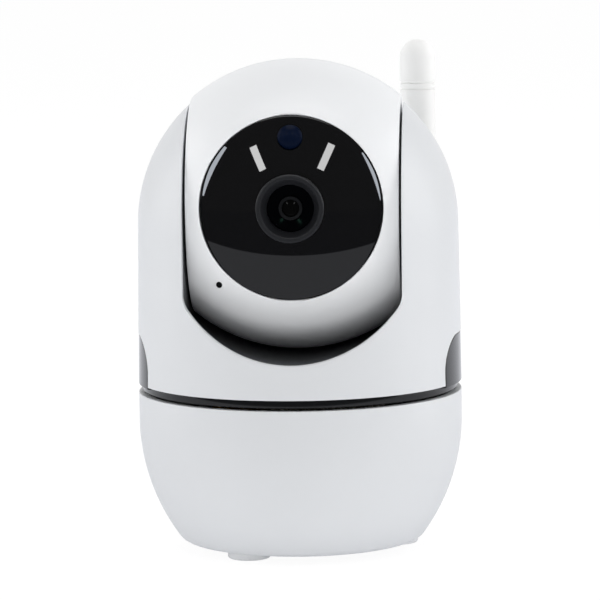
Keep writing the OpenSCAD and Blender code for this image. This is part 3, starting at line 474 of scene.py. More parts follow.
def on_body(x, z, inset=0.0):
    """Turn and climb of the body's face behind a point of the front view: the turn's sine is x over the radius."""
    lift = np.arcsin(np.clip((z - dome_z) / (dome_r - inset), 0, 1))
    share = np.clip((z - body_z) / side_h, 0, 1)
    r = (body_r + (dome_r - body_r) * share - inset) * np.cos(lift)
    return lay(np.arcsin(np.clip(x / r, -1, 1)), side_h * share + lift * dome_r)


def spread(line, count):
    """The same line with points at even steps along it."""
    line = np.asarray(line, float)
    run = join([0], np.cumsum(np.linalg.norm(np.diff(line, axis=0), axis=1)))
    at = np.linspace(0, run[-1], count)
    return np.stack([np.interp(at, run, line[:, k]) for k in range(line.shape[1])], axis=-1)


def across(line):
    """Unit normals of a plane line, a quarter turn anticlockwise from its run."""
    run = unit(np.gradient(line, axis=0))
    return lay(-run[:, 1], run[:, 0])


def swung(first, last, steps):
    """Unit normals swung evenly from one to another: (sin((1 - t) angle) first + sin(t angle) last) / sin(angle)."""
    angle = np.arccos(np.clip((first * last).sum(axis=-1, keepdims=True), -1, 1))
    t = np.linspace(0, 1, steps + 1)[:, None, None]
    return (np.sin((1 - t) * angle) * first + np.sin(t * angle) * last) / np.sin(angle)


def rolled(edge, first, last, radius, steps=6):
    """Rows of a round over a sharp edge, from one face's normal to the other's: they swing about a centre that lies
    under the edge on the normals' half way, at radius / cos(half angle)."""
    cosine = (first * last).sum(axis=-1, keepdims=True)
    return edge + radius[:, None] * (swung(first, last, steps) - (first + last) / (1 + cosine))


def both(half, mirror=1):
    """A left half and, from the middle on, its mirrored right half."""
    return join(half, mirror * half[-2::-1])


# Points along the arch, the upright side, the ear or the slot's corner, and the hem or the U.
counts = (34, 16, 26, 40)


def shell(opening, lip, rows):
    """Half of the body between the slot's opening and its outer border, seen from the front. Both run from the
    arch's top at the left, down and round to the right, in matching steps; the face is the straight mix of their
    turn and climb. A section through the wall goes over the opening's quarter ellipse, out along the face, over
    the border's round and back along the inside, and these sections follow one another along the border."""
    def borders(inset):
        reach = math.acos(slot_x / (dome_r - inset))
        inner = opening(inset, reach)
        lift = np.linspace(reach, 0, counts[0])[:-1]
        bend = arc(ear_corner - ear_half, ear_top - ear_corner, ear_corner + ear_gap, 90, 180, 30)
        ear = spread(join([(0, ear_top + ear_gap)], bend, [(-ear_half - ear_gap, body_z + hem_gap)]), counts[2])
        hem = np.linspace(-math.acos((ear_half + ear_gap) / (body_r - inset)), 0, counts[3])[1:]
        side = np.linspace(side_h, ear_top + ear_gap - body_z, counts[1])[:-1]
        turn = join(np.full(counts[0] + counts[1] - 2, -np.pi / 2),
                    -np.arccos(-ear[:, 0] / (body_radius(ear[:, 1]) - inset)), hem)
        climb = join(side_h + lift * dome_r, side, ear[:, 1] - body_z, hem_gap + 0 * hem)
        outer = lay(turn, climb)
        out_ear = across(ear)
        facing = join(np.tile([0, 1, 0], (counts[0] + counts[1] - 2, 1)), lay(0, out_ear[:, 0], out_ear[:, 1]),
                      np.tile([0, 0, -1], (len(hem), 1)))
        way = across(inner)
        into = lay(way[:, 0], 0, way[:, 1])
        on_face = on_body(inner[:, 0], inner[:, 1], inset)
        return both(on_face, [-1, 1]), both(outer, [-1, 1]), both(into, [-1, 1, 1]), both(facing, [-1, 1, 1])

    a, b, into, facing = borders(0)
    a_in, b_in, _, _ = borders(body_wall)

    def skin(place, inset=0.0):
        return body_skin(place[..., 0], place[..., 1], inset)

    def normal(place):
        return skin(place) - skin(place, 1.0)

    def width(edge, far):
        run = unit(np.gradient(edge, axis=0))
        return np.maximum(np.linalg.norm(np.cross(far - edge, run), axis=1), 1e-6)

    a_width, b_width = width(skin(a), skin(b)), width(skin(b), skin(a))
    wall = unit((normal(a) * into).sum(axis=1, keepdims=True) * into - normal(a))
    lip_wide, lip_deep = both(lip).T
    lip_wide = np.minimum(lip_wide, 0.4 * a_width)
    lip_deep = np.minimum(np.minimum(lip_deep, lip_wide),
                          0.75 * np.linalg.norm(skin(a) - skin(a_in, body_wall), axis=1))
    swing = np.linspace(0, np.pi / 2, 9)[:, None]
    lip_share = ((1 - np.cos(swing)) * lip_wide / a_width)[..., None]
    lip_sunk = ((1 - np.sin(swing)) * lip_deep)[..., None]
    seam = np.repeat((seam_round, hem_round), (sum(counts[:3]) - 2, counts[3] - 1))
    b_round = np.minimum(both(seam), 0.15 * b_width)
    cosine = (normal(b) * facing).sum(axis=1)
    b_reach = 1.3 * b_round * np.sqrt((1 - cosine) / (1 + cosine)) / b_width
    s = np.linspace(0, 1, rows)[1:, None]
    share = (lip_wide / a_width + s * (1 - lip_wide / a_width - b_reach))[..., None]
    s_in = np.linspace(1, 0, 12)[:, None, None]
    grid = join(
        skin(a + lip_share * (b - a)) + lip_sunk * wall,
        skin(a + share * (b - a)),
        rolled(skin(b), normal(b), facing, b_round, 4),
        skin(a_in + s_in * (b_in - a_in), body_wall),
    )
    return woven(grid, wrap_rows=True)


def arch(inset, top, foot):
    """The slot's side over the dome in the front view (x, z), from one lift down to another."""
    return lay(-slot_x, dome_z + (dome_r - inset) * np.sin(np.linspace(top, foot, counts[0])[:-1]))


def u_opening(inset, reach):
    """The slot's edge in the front view (x, z), left half from the top: the arch at the slot's side, the upright
    edge, a corner that eases it into the U, and the U down to its middle."""
    drop = math.sqrt((u_r - u_corner) ** 2 - (slot_x - u_corner) ** 2)
    ease = math.degrees(math.atan2(drop, slot_x - u_corner))
    upright = spread([(-slot_x, dome_z), (-slot_x, u_z - drop)], counts[1])[:-1]
    corner = arc(u_corner - slot_x, u_z - drop, u_corner, 180, 180 + ease, 30)
    split = 180 + ease + u_split
    first = spread(join(corner, arc(0, u_z, u_r, 180 + ease, split, 30)[1:]), counts[2])
    rest = arc(0, u_z, u_r, split, 270, counts[3] - 1)[1:]
    return join(arch(inset, reach, 0), upright, first, rest)


grow = join(np.zeros(counts[0] + counts[1] - 2), np.linspace(0, 1, counts[2] + counts[3] - 1))[:, None]
u_lip = slot_round + grow ** 2 * (3 - 2 * grow) * (np.array([lip_w, lip_depth]) - slot_round)
piece("front_body_shell", [shell(u_opening, u_lip, 30)], white_abs, "body", "white_abs", "front_shell")


# Rear shell
# The back half of the body, moulded and screwed from below like the front. Its slot ends on a level sill with
# round corners, a boss carries the antenna's pivot, and a ring pattern of holes lets the speaker sound out.
sill_z, sill_corner, sill_round = dome_z + 3.2, 6, 0.8
antenna_turn, antenna_z, antenna_out = math.radians(51), 66.0, 46.3
boss_r, boss_end, boss_root = 5, antenna_out - 3.9, 37.5


def sill_opening(inset, reach):
    """The rear slot's edge in the front view (x, z), left half from the top: the arch at the slot's side, a round
    corner, and the sill to its middle."""
    low = math.asin((sill_z + sill_corner - dome_z) / (dome_r - inset))
    corner = arc(sill_corner - slot_x, sill_z + sill_corner, sill_corner, 180, 270, counts[1] - 1)[:-1]
    sill = np.linspace(sill_corner - slot_x, 0, counts[2] + counts[3] - 1)
    return join(arch(inset, reach, low), corner, lay(sill, sill_z))


def at_antenna(points):
    """Local points, with X pointing out of the body and Z up, put at the antenna's pivot."""
    x, y, z = (np.asarray(points, float) + [antenna_out, 0, antenna_z]).T
    c, s = math.cos(antenna_turn), math.sin(antenna_turn)
    return lay(x * c - y * s, x * s + y * c, z)


def outward(surface):
    """A lathe's surface with its axis turned from Z to X, pointing out of the body at the antenna's pivot."""
    return moved(surface, lambda points: at_antenna(points[:, [2, 0, 1]]))


sill_lip = np.full((sum(counts) - 3, 2), sill_round)
rear_half = moved(shell(sill_opening, sill_lip, 46), lambda points: points * [1, -1, 1])
boss = rounded(bar(boss_r, boss_root - antenna_out, boss_end - antenna_out), (0, 0, 0.5, 0))
grille_z, grille_pitch, grille_r, grille_reach = 54.0, 3, 0.8, (36, 44)
grille_ring = np.repeat((0, 1, 2), (1, 6, 12))
grille_turn = join([0], np.arange(6) * np.pi / 3, np.arange(12) * np.pi / 6)
hole = arc(0, 0, grille_r, 0, 360, 20)[:-1]
grille = [prism(hole + [grille_pitch * ring * math.cos(a), grille_z - grille_pitch * ring * math.sin(a)],
                *grille_reach) for ring, a in zip(grille_ring, grille_turn)]
piece("rear_body_shell", [rear_half], white_abs, "body", "white_abs", "rear_shell", holes=grille)
piece("antenna_boss", [outward(lathe(boss, 64))], white_abs, "body", "white_abs", "rear_shell")


# Antenna
# A stubby sleeve of white ABS over a brass element, with two fine grooves under its round tip. Its warm white is
# painted lighter than the body's, to stand in for light on its front. It swings on a flat knuckle that a steel
# rivet holds to the body's boss.
antenna_abs_painted_lighter = surfaced("white ABS, antenna sleeve, painted lighter", ("#F6F6F5", "#FAFAF9"), roughness=0.45, depth_mm=0.003, IOR=1.53)
sleeve_r, neck_z, neck_l, antenna_l, knuckle_r, knuckle_half = 4.5, 2.2, 10, 58.2, 6, 3.6
groove_depth, groove_w, flat_end, flat_fade = 0.4, 0.5, 7, 2.8
sleeve_low = [(0, neck_l), (sleeve_r - 0.3, neck_l), (sleeve_r, neck_l + 0.3)]
groove = np.array([(sleeve_r, -0.1), (sleeve_r - 0.1, 0), (sleeve_r - groove_depth, 0.08),
                   (sleeve_r - groove_depth, groove_w - 0.08), (sleeve_r - 0.1, groove_w), (sleeve_r, groove_w + 0.1)])
grooves = [groove + [0, antenna_l - below - groove_w / 2] for below in (12.6, 11)]
sleeve = join(sleeve_low, *grooves, arc(0, antenna_l - sleeve_r, sleeve_r, 0, 90, 20))
piece("antenna_sleeve_tube", [moved(lathe(sleeve, 80), at_antenna)], antenna_abs_painted_lighter, "antenna", "white_abs",
      "antenna_sleeve")


def knuckle_neck(rows=12, steps=64):
    """The neck over the knuckle: a round bar whose two flats fade out upwards, as its x is held within a half
    width that grows to the bar's own radius."""
    z = join([neck_z, neck_z], np.linspace(neck_z, neck_l, rows), [neck_l, neck_l])[:, None]
    t = around(steps).T
    fade = np.clip((z - flat_end) / flat_fade, 0, 1)
    half = knuckle_half + (sleeve_r - knuckle_half) * fade * fade * (3 - 2 * fade)
    r = np.full(len(z), sleeve_r)[:, None]
    r[[0, -1]] = 0
    r[-2] = sleeve_r - 0.2
    return moved(woven(lay(np.clip(r * np.cos(t), -half, half), r * np.sin(t), z), wrap_columns=True), at_antenna)


pin_bore = 1.65
disc = rounded(rectangle(pin_bore, knuckle_r, -knuckle_half, knuckle_half), (0, 0.7, 0.7, 0))
piece("antenna_knuckle_joint", [outward(lathe(closed(disc), 80)), knuckle_neck()], antenna_abs_painted_lighter, "antenna", "white_abs",
      "antenna_knuckle")
pin_r, pin_root, rivet_seat, rivet_r, rivet_t = 1.6, -knuckle_half - 4.5, knuckle_half + 0.05, 3.2, 1.4
rivet = join(
    [(0, pin_root), (pin_r, pin_root), (pin_r, rivet_seat), (rivet_r, rivet_seat), (rivet_r, rivet_seat + 0.35)],
    lay(np.linspace(rivet_r - 0.1, 0, 14), rivet_seat + rivet_t - (rivet_t - 0.5) * np.linspace(1, 0, 14) ** 2),
)
piece("antenna_rivet", [outward(lathe(rivet, 64))], zinc_steel, "body", "zinc_steel", "antenna_pivot")


# Cradle
# A matt black ABS trough behind the U that closes the gap round the head. It hides the wiring and takes the
# tilt bearings in its two cheeks.
# Its colour is painted a mid grey, far lighter than black ABS, to stand in for light reaching the deep slot under the
# head.
matt_abs_painted_lighter = surfaced("black ABS, moulded matt, painted lighter", ("#525457", "#585A5D"), roughness=0.55, depth_mm=0.004, IOR=1.53)
dress(matt_abs_painted_lighter, "cradle")


# Head shells
# A barrel in white ABS, turned about the tilt axis and split upright a little in front of it. The front half
# holds the round face; the rear half is screwed to it through four deep posts.
# The head is the body's white ABS, painted lighter than white_abs: the lighter copy stands in for light on its front
# and underside.
head_abs_painted_lighter = surfaced("white ABS, moulded satin, painted lighter", ("#EBEDEF", "#F0F1F3"), roughness=0.38, IOR=1.53)
profile_r, tilt_rise, head_half = 40.7, 4.7, span("head_front")[1][0]
tilt_z, rest_tilt = dome_z + tilt_rise, math.radians(3)
head_wall, head_round, hole_r, hole_round, parting, parting_groove = 1.4, 0.7, 22.3, 0.35, 4, 0.15
hub_r = {1: 5, -1: 6}


def in_head(points):
    """Points of the level head, measured from the tilt axis, turned up by its rest tilt and lifted into place."""
    x, y, z = np.asarray(points, float).T
    c, s = math.cos(rest_tilt), math.sin(rest_tilt)
    return lay(x, y * c + z * s, tilt_z - y * s + z * c)


def barrel_r(x):
    """Radius of the barrel about the tilt axis: a circle of the profile's radius, set down by the axis's rise."""
    return np.sqrt(profile_r ** 2 - x ** 2) - tilt_rise


def walled(surface, normals, keep):
    """A closed wall: a surface, the same set in along its normals and turned over, and a strip across every edge that
    only one face uses, where points within 0.001 mm are one. `keep` holds the inner points on their own side of the
    parting plane."""
    outer, faces = surface
    n = len(outer)
    same = np.unique(np.round(outer + 0.00037, 3), axis=0, return_inverse=True)[1].reshape(-1)
    ends = join(*(faces[:, [k, (k + 1) % 4]] for k in range(4)))
    a, b = np.sort(same[ends], axis=1).T
    _, which, uses = np.unique(a * n + b, return_inverse=True, return_counts=True)
    open_ends = ends[(uses[which.reshape(-1)] == 1) & (a != b)]
    strips = np.concatenate([open_ends[:, ::-1], open_ends + n], axis=1)
    return join(outer, keep(outer - head_wall * normals)), join(faces, faces[:, ::-1] + n, strips)


def barrel_normals(x):
    """Normals (x, r) of the barrel's profile circle."""
    return lay(x, np.sqrt(profile_r ** 2 - x ** 2)) / profile_r


def cheek(side):
    """Profile (x, r) and normals of the barrel's end: a round over its edge, then the flat cheek to the hub."""
    corner, flat = np.array([[head_half, barrel_r(head_half)]]), np.array([[1.0, 0.0]])
    slope = barrel_normals(corner[:, 0])
    edge = rolled(corner, slope, flat, np.array([head_round]), 8)[:, 0]
    disc = lay(head_half, np.linspace(edge[-1, 1], hub_r[side], 11)[1:])
    normals = join(swung(slope, flat, 8)[:, 0], np.tile(flat, (10, 1)))
    return join(edge, disc) * [side, 1], normals * [side, 1]


edge_x = cheek(1)[0][0, 0]
ends_t = join([-1], np.linspace(-0.994, 0.994, 61), [1])


def turned(profile, normals, t, fore):
    """Points and normals of a profile (x, r) turned about the tilt axis. The angle runs from the front, or from the
    back, to where the parting plane cuts that radius, and t is its share."""
    x, r = profile[..., 0], profile[..., 1]
    angle = t * np.arccos(fore * parting / r)
    c, s = np.cos(angle), np.sin(angle)
    points = lay(x, -fore * r * c, r * s)
    facing = lay(normals[..., 0], -fore * normals[..., 1] * c, normals[..., 1] * s)
    return points - parting_groove * (abs(t) > 0.999)[..., None] * facing, facing


def front_barrel(turn_mm=30):
    """The front half: spokes run from the round face hole out to the border, which is the end rounds at the sides and
    the parting line above and below. A whole turn share counts as about 30 mm. The two cheeks continue the border's
    samples at the sides."""
    level = np.linspace(edge_x, -edge_x, 49)[1:-1]
    border = join(lay(edge_x, ends_t), lay(level, 1.0), lay(-edge_x, ends_t[::-1]), lay(-level, -1.0))
    swing = np.unwrap(np.arctan2(border[:, 1] * turn_mm, border[:, 0]))
    rim_x, rim_z = hole_r * np.cos(swing), hole_r * np.sin(swing)
    rim_angle = np.arcsin(rim_z / barrel_r(rim_x))
    rim = lay(rim_x, rim_angle / np.arccos(parting / barrel_r(rim_x)))
    rim_point = lay(rim_x, -barrel_r(rim_x) * np.cos(rim_angle), rim_z)
    across_rim = barrel_normals(rim_x)
    rim_normal = lay(across_rim[:, 0], -across_rim[:, 1] * np.cos(rim_angle), across_rim[:, 1] * np.sin(rim_angle))
    inwards = lay(-np.cos(swing), 0, -np.sin(swing))
    over = rolled(rim_point, inwards, rim_normal, np.full(len(swing), hole_round), 5)
    s = join(np.linspace(0.0, 0.985, 26) ** 1.15, [1])[:, None, None]
    start = (1.4 * hole_round / np.maximum(turn_mm * np.linalg.norm(border - rim, axis=1), 3))[:, None]
    spoke = rim + (start + s * (1 - start)) * (border - rim)
    x = spoke[..., 0]
    patch, patch_normal = turned(lay(x, barrel_r(x)), barrel_normals(x), spoke[..., 1], 1)
    over_normal = rim_normal + 0 * over
    over_normal[0] = over_normal[1] = (0, -1, 0)
    surfaces, normals = [woven(join(over, patch), wrap_columns=True)], [join(over_normal, patch_normal).reshape(-1, 3)]
    for side in (1, -1):
        profile, facing = cheek(side)
        points, normal = turned(profile[:, None], facing[:, None], ends_t[None], 1)
        surfaces.append(woven(points))
        normals.append(normal.reshape(-1, 3))
    return walled(merged(surfaces), join(*normals), lambda p: np.minimum(p, [np.inf, -parting, np.inf]))


def rear_barrel():
    """The rear half: the whole profile from cheek to cheek, turned from parting line to parting line."""
    right, right_normals = cheek(1)
    left, left_normals = cheek(-1)
    x = np.linspace(edge_x, -edge_x, 61)[1:-1]
    profile = join(right[::-1], lay(x, barrel_r(x)), left)
    facing = join(right_normals[::-1], barrel_normals(x), left_normals)
    t = join([-1], np.linspace(-0.9965, 0.9965, 111), [1])
    points, normals = turned(profile[:, None], facing[:, None], t[None], -1)
    return walled(woven(points), normals.reshape(-1, 3), lambda p: np.maximum(p, [-np.inf, -parting, -np.inf]))


def toward_front(surface):
    """A lathe's surface with its axis turned from Z to -Y."""
    return moved(surface, lambda points: points[:, [0, 2, 1]] * [1, -1, 1])


def ahead(surface, x=0, z=0):
    """A lathe's surface with its axis turned from Z to point straight out of the face, in the head."""
    return moved(toward_front(surface), lambda points: in_head(points + [x, 0, z]))


def on_barrel(surface, elevation, swing=0):
    """A surface about the -Y axis swung across the barrel's profile, then raised by an elevation, in the head."""
    placed = np.array(Matrix.Rotation(math.radians(-elevation), 4, "X") @ Matrix.Translation((0, tilt_rise, 0))
                      @ Matrix.Rotation(math.radians(swing), 4, "Z"))
    return moved(surface, lambda points: in_head(points @ placed[:3, :3].T + placed[:3, 3]))


mic_r, mic_x, mic_z, mic_back, mic_face, mic_reach = 0.8, -17.84, -18.65, 20.2, 25, (20, 32)
mic_hole = ahead(lathe(bar(mic_r, *mic_reach), 32), mic_x, mic_z)
piece("head_front_barrel", [moved(front_barrel(), in_head)], head_abs_painted_lighter, "head", "white_abs", "head_front",
      holes=[mic_hole], crease=50)

# The microphone's black rubber boot fills the small round hole low on the left, which runs straight out to the front.
# It reaches to just under the skin and is painted shade for the hole's dark depth.
hole_shade_rubber = surfaced("rubber, black, painted hole shade", ("#0C0C0D", "#101011"), roughness=0.6, grain_mm=0.3, depth_mm=0.003,
                       IOR=1.2)
mic_shade_plug = rounded(bar(mic_r - 0.02, mic_back, mic_face), (0, 0.1, 0.1, 0))
piece("microphone_hole_shade_plug", [ahead(lathe(mic_shade_plug, 32), mic_x, mic_z)], hole_shade_rubber, "head", "zinc_steel", "microphone")

posts = [(x, z) for x in (-19, 19) for z in (-21, 21)]
post_r, post_bore, post_hole_r, post_seat, post_cover = 2.6, 2.02, 2.0, 13.0, 0.8
head_screw_seat, head_screw_l, post_hole_end = 14, 15, 45
card_half, card_t, reset_r, reset_swing, underside = 5.8, 0.55, 1.55, 16, -100
in_barrel, past_barrel = 36, 43
post_hole = lathe(bar(post_hole_r, -post_hole_end, -head_screw_seat), 48)
card_slot = prism(oblong(card_half, -card_t, card_t, 0.4), -past_barrel, -in_barrel)
reset_hole = toward_front(lathe(bar(reset_r, in_barrel, past_barrel), 40))
rear_holes = [*(ahead(post_hole, x, z) for x, z in posts), on_barrel(card_slot, underside),
              on_barrel(reset_hole, underside, reset_swing)]
piece("head_rear_barrel", [moved(rear_barrel(), in_head)], head_abs_painted_lighter, "head", "white_abs", "head_rear",
      holes=rear_holes, crease=50)


def post_tube(x0, z0, steps=48):
    """A tube for a screw from its seat to just under the barrel's skin, whose far end follows that skin."""
    t = around(steps)[:, 0]
    rings = []
    for r, far in ((post_r, 0), (post_r, 1), (post_bore, 1), (post_bore, 0)):
        x, z = x0 + r * np.cos(t), z0 + r * np.sin(t)
        skin = np.sqrt(barrel_r(x) ** 2 - z ** 2) - post_cover
        rings.append(lay(x, skin if far else post_seat, z))
    return moved(woven(np.stack(rings), wrap_rows=True, wrap_columns=True), in_head)


piece("head_screw_posts", [post_tube(x, z) for x, z in posts], head_abs_painted_lighter, "head", "white_abs", "head_rear")
head_screw = moved(screw(head_screw_l), lambda points: points - [0, 0, head_screw_seat])
piece("head_shell_screws", [ahead(head_screw, x, z) for x, z in posts], zinc_steel, "head", "zinc_steel", "head_screws")


# Face window
# A domed disc of smoked acrylic, moulded and polished, that lets the infrared lamps behind it shine through.
# It sits in the head's round hole with its rim just proud, and is pierced for the lens and the light sensor.
smoked_acrylic = surfaced("smoked acrylic, polished", ("#050506", "#070709"), roughness=0.02, grain_mm=6,
                          depth_mm=0.0002, IOR=1.49)
face_r, face_dome_r, face_proud, face_round, face_t = 22.2, 50, 0.2, 0.35, 1.8
lens_hole_r, sensor_r, sensor_gap, sensor_rise, sensor_reach = 8.35, 3.0, 0.1, 17, (24, 36)
face_rim = math.sqrt((profile_r - tilt_rise) ** 2 - face_r ** 2) + face_proud
face_centre = face_rim - math.sqrt(face_dome_r ** 2 - face_r ** 2)
face_back, skirt_r = face_rim - face_t, face_r - 1.5


def dome_at(r):
    """How far forward the face's dome stands at a radius."""
    return face_centre + np.sqrt(face_dome_r ** 2 - r ** 2)


rim_edge = np.array([[face_r, face_rim]])
dome_normal = np.array([[face_r, face_rim - face_centre]]) / face_dome_r
rim_roll = rolled(rim_edge, dome_normal, np.array([[1.0, 0.0]]), np.array([face_round]), 6)[:, 0]
dome_r_at = np.linspace(lens_hole_r, rim_roll[0, 0], 60)
face_profile = join(
    [(lens_hole_r, dome_at(lens_hole_r) - face_t)],
    lay(dome_r_at, dome_at(dome_r_at))[:-1], rim_roll,
    [(face_r, face_back), (skirt_r + 0.1, face_back), (skirt_r, dome_at(skirt_r) - face_t)],
)
sensor_hole = ahead(lathe(bar(sensor_r + sensor_gap, *sensor_reach), 64), 0, sensor_rise)
piece("face_window_dome", [ahead(lathe(closed(face_profile), 256))], smoked_acrylic, "head", "smoked_acrylic",
      "face_window", holes=[sensor_hole], crease=30)


# Lens
# A satin grey bezel snapped into the face, with a cone down to the black lens barrel. The barrel's glossy front
# carries a thin ring and a small coated glass, whose coating shows green.
satin_bezel = surfaced("PC-ABS, satin dark grey", ("#1C1D20", "#222326"), roughness=0.36, grain_mm=0.3, IOR=1.35)
bezel_r, mouth_r, flange_r = 8.25, 7.05, 9.45
bezel_front, bezel_back = dome_at(0) + 1.2, dome_at(0) - 4
flange_y = face_centre + math.sqrt((face_dome_r - 2) ** 2 - flange_r ** 2) - 0.1
barrel_front, lens_r, glass_r, ring_w = bezel_front - 3.4, 5.6, 2.3, 0.6
lens_bore, cone_foot = lens_r + 0.1, barrel_front + 0.6
bezel_profile = rounded(
    [(lens_bore, bezel_back), (flange_r, bezel_back), (flange_r, flange_y), (bezel_r, flange_y),
     (bezel_r, bezel_front), (mouth_r, bezel_front), (lens_bore, cone_foot)], (0, 0.1, 0.1, 0, 0.5, 0.25, 0.1))
piece("lens_bezel_ring", [ahead(lathe(closed(bezel_profile), 160))], satin_bezel, "head", "satin_bezel", "lens_bezel")

# Black anodised aluminium behind coated glass: the coating leaves only a faint green glint of the lamps.
lens_black = surfaced("aluminium, black anodised, under coated glass", ("#020203", "#040406"), roughness=0.12,
                      grain_mm=3, depth_mm=0.0004, IOR=1.08, Specular_Tint=linear("#A8FFDC"))
step_r = glass_r + ring_w
seat_r, seat_y, tunnel_r, barrel_back = step_r + 0.02, barrel_front - 1.6, glass_r - 0.4, barrel_front - 8
barrel_profile = rounded(
    [(seat_r, seat_y), (seat_r, barrel_front - 0.5), (lens_r - 0.4, barrel_front), (lens_r, barrel_front),
     (lens_r, barrel_back), (tunnel_r, barrel_back), (tunnel_r, seat_y)], (0, 0.15, 0.15, 0.1, 0, 0, 0))
piece("lens_barrel_front", [ahead(lathe(closed(barrel_profile), 128))], lens_black, "head", "black_anodised",
      "lens_barrel")
ring_front, ring_back = barrel_front + 0.2, barrel_front - 0.8
stop_r = glass_r - 0.2
lens_ring = rounded([(stop_r, ring_back), (step_r, ring_back), (step_r, ring_front), (stop_r, ring_front - 0.3)],
                    (0, 0, 0.12, 0.08))
anodised = surfaced("aluminium, dark anodised", ("#0E0F11", "#141517"), roughness=0.5, grain_mm=0.2, depth_mm=0.001,
                    cloud_mm=2, IOR=1.2)
piece("lens_retaining_ring", [ahead(lathe(closed(lens_ring), 96))], anodised, "head", "black_anodised", "lens_ring")
coated_glass = surfaced("optical glass, coated", ("#060606", "#080808"), roughness=0.02, grain_mm=4, depth_mm=0.0001,
                        IOR=1.12)
glass_bulge, glass_back = 0.5, ring_back - 0.8
glass_r_at = np.linspace(glass_r - 0.05, 0, 20)
glass_front = ring_back + glass_bulge * (1 - (glass_r_at / glass_r) ** 2)
glass = join([(0, glass_back), (glass_r, glass_back), (glass_r, ring_back)], lay(glass_r_at, glass_front))
piece("lens_front_glass", [ahead(lathe(glass, 96))], coated_glass, "head", "coated_glass", "lens_glass")


# Light sensor
# A small blue-black dome of tinted polycarbonate that peeps through the face over the lens.
blue_dome = surfaced("polycarbonate, tinted blue-black", ("#060D1C", "#09142B"), roughness=0.3, grain_mm=2,
                     depth_mm=0.0003, IOR=1.12)
sensor_curve, sensor_back = 4, face_rim - 4
sensor_seat = dome_at(sensor_rise)
sensor_centre = sensor_seat - math.sqrt(sensor_curve ** 2 - sensor_r ** 2)
sensor_edge = math.degrees(math.acos(sensor_r / sensor_curve))
sensor_profile = join([(0, sensor_back), (sensor_r, sensor_back)],
                      arc(0, sensor_centre, sensor_curve, sensor_edge, 90, 24))
piece("light_sensor_dome", [ahead(lathe(sensor_profile, 96), 0, sensor_rise)], blue_dome, "head", "blue_dome",
      "sensor_dome")


# Drives, boards and small parts inside
# Acetal gears on geared can motors, green glass-epoxy boards, zinc-plated screws and moulded grey decks. They
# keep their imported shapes; each takes the finish of what it is made of.
grey_abs = surfaced("grey ABS, moulded", ("#4A4B4D", "#525355"), roughness=0.5, depth_mm=0.004, IOR=1.53)
acetal = surfaced("acetal, natural", ("#E6E2D6", "#ECE9DF"), roughness=0.4, grain_mm=0.3, IOR=1.48)
motor_steel = surfaced("steel, drawn and nickel plated", ("#9C9EA0", "#B2B4B6"), roughness=0.28, grain_mm=0.3,
                       stretch=(1, 1, 0.1), Metallic=1.0)
solder_mask = surfaced("glass epoxy, green solder mask", ("#0E3A22", "#134A2B"), roughness=0.35, grain_mm=0.8,
                       depth_mm=0.01, cloud_mm=2.5, IOR=1.55)
chip_epoxy = surfaced("moulded epoxy, chip black", ("#17181A", "#1D1E20"), roughness=0.55, grain_mm=0.2, depth_mm=0.003,
                      IOR=1.55)
led_epoxy = surfaced("epoxy, clear infrared lamp", ("#8E96A3", "#A3ABB8"), roughness=0.1, grain_mm=1, depth_mm=0.0005,
                     IOR=1.55)
dress(grey_abs, "motor_deck", "turntable", "hub_retainer", "lens_holder", "reset_switch", "reset_button")
dress(acetal, "pan_washer", "pan_gear", "tilt_gear", "tilt_bush", "head_bush")
dress(motor_steel, "pan_motor", "tilt_motor", "pan_shaft", "tilt_shaft", "trunnion", "tilt_stub")
dress(zinc_steel, "deck_screws", "pan_motor_screws", "retainer_screws", "shell_screws", "cradle_screws",
      "tilt_motor_screws", "card_socket")
dress(brass, "pan_pinion", "tilt_pinion", "board_spacers", "antenna_element")
dress(solder_mask, "power_board", "main_board", "sensor_board", "led_board", "card_board")
dress(chip_epoxy, "processor", "image_sensor", "speaker")
dress(led_epoxy, "infrared_leds")


# Studio
# A white table under a white backdrop, with a soft box at each side, one overhead, a weak one in front and light
# thrown up from the table. Four narrow strips show in glossy faces only: two draw the bars on the face, two its
# bright rim. The camera looks slightly down from the front with a long lens.
scene = bpy.context.scene
scene.view_settings.view_transform = "Standard"

table = bpy.data.meshes.new("table")
table_r = 4.0
table_rim = arc(0, 0, table_r, 0, 360, 64)[:-1]
table.from_pydata(lay(*table_rim.T, 0).tolist(), [], [list(range(len(table_rim)))])
table_finish = bpy.data.materials.new("table laminate, white")
table_finish.use_nodes = True
tree = table_finish.node_tree
tree.nodes.clear()
path = add(tree, "LightPath").outputs
spot = add(tree, "SeparateXYZ", {"Vector": add(tree, "TexCoord").outputs["Object"]}).outputs
# Mirrored in glossy faces, the table is dim beyond 0.186 m in front of the part, pale nearer, and paler behind it.
near = ramp(tree, spot["Y"], -0.188, -0.184, 0.12, 0.75)
far = ramp(tree, spot["Y"], 0.0, 0.3, 0.0, 0.35)
glow = add(tree, "Math", {0: near, 1: far}, operation="ADD")
mirror = add(tree, "Emission", {"Color": linear("#F1F3F9"), "Strength": glow})
plain = add(tree, "BsdfDiffuse", {"Color": linear("#F4F4F4")})
white = add(tree, "Emission", {"Color": linear("#FFFFFF"), "Strength": 1.06})
lit = add(tree, "MixShader", {0: 0.88, 1: plain, 2: white})
camera_mix = add(tree, "MixShader", {0: path["Is Camera Ray"], 1: plain, 2: lit})
glossy_mix = add(tree, "MixShader", {0: path["Is Glossy Ray"], 1: camera_mix, 2: mirror})
add(tree, "OutputMaterial", {"Surface": glossy_mix})
table.materials.append(table_finish)
table_top = bpy.data.objects.new("table", table)
scene.collection.objects.link(table_top)

world = bpy.data.worlds.new("studio")
scene.world = world
world.use_nodes = True
tree = world.node_tree
tree.nodes.clear()
path = add(tree, "LightPath").outputs
way = add(tree, "SeparateXYZ", {"Vector": add(tree, "TexCoord").outputs["Generated"]}).outputs
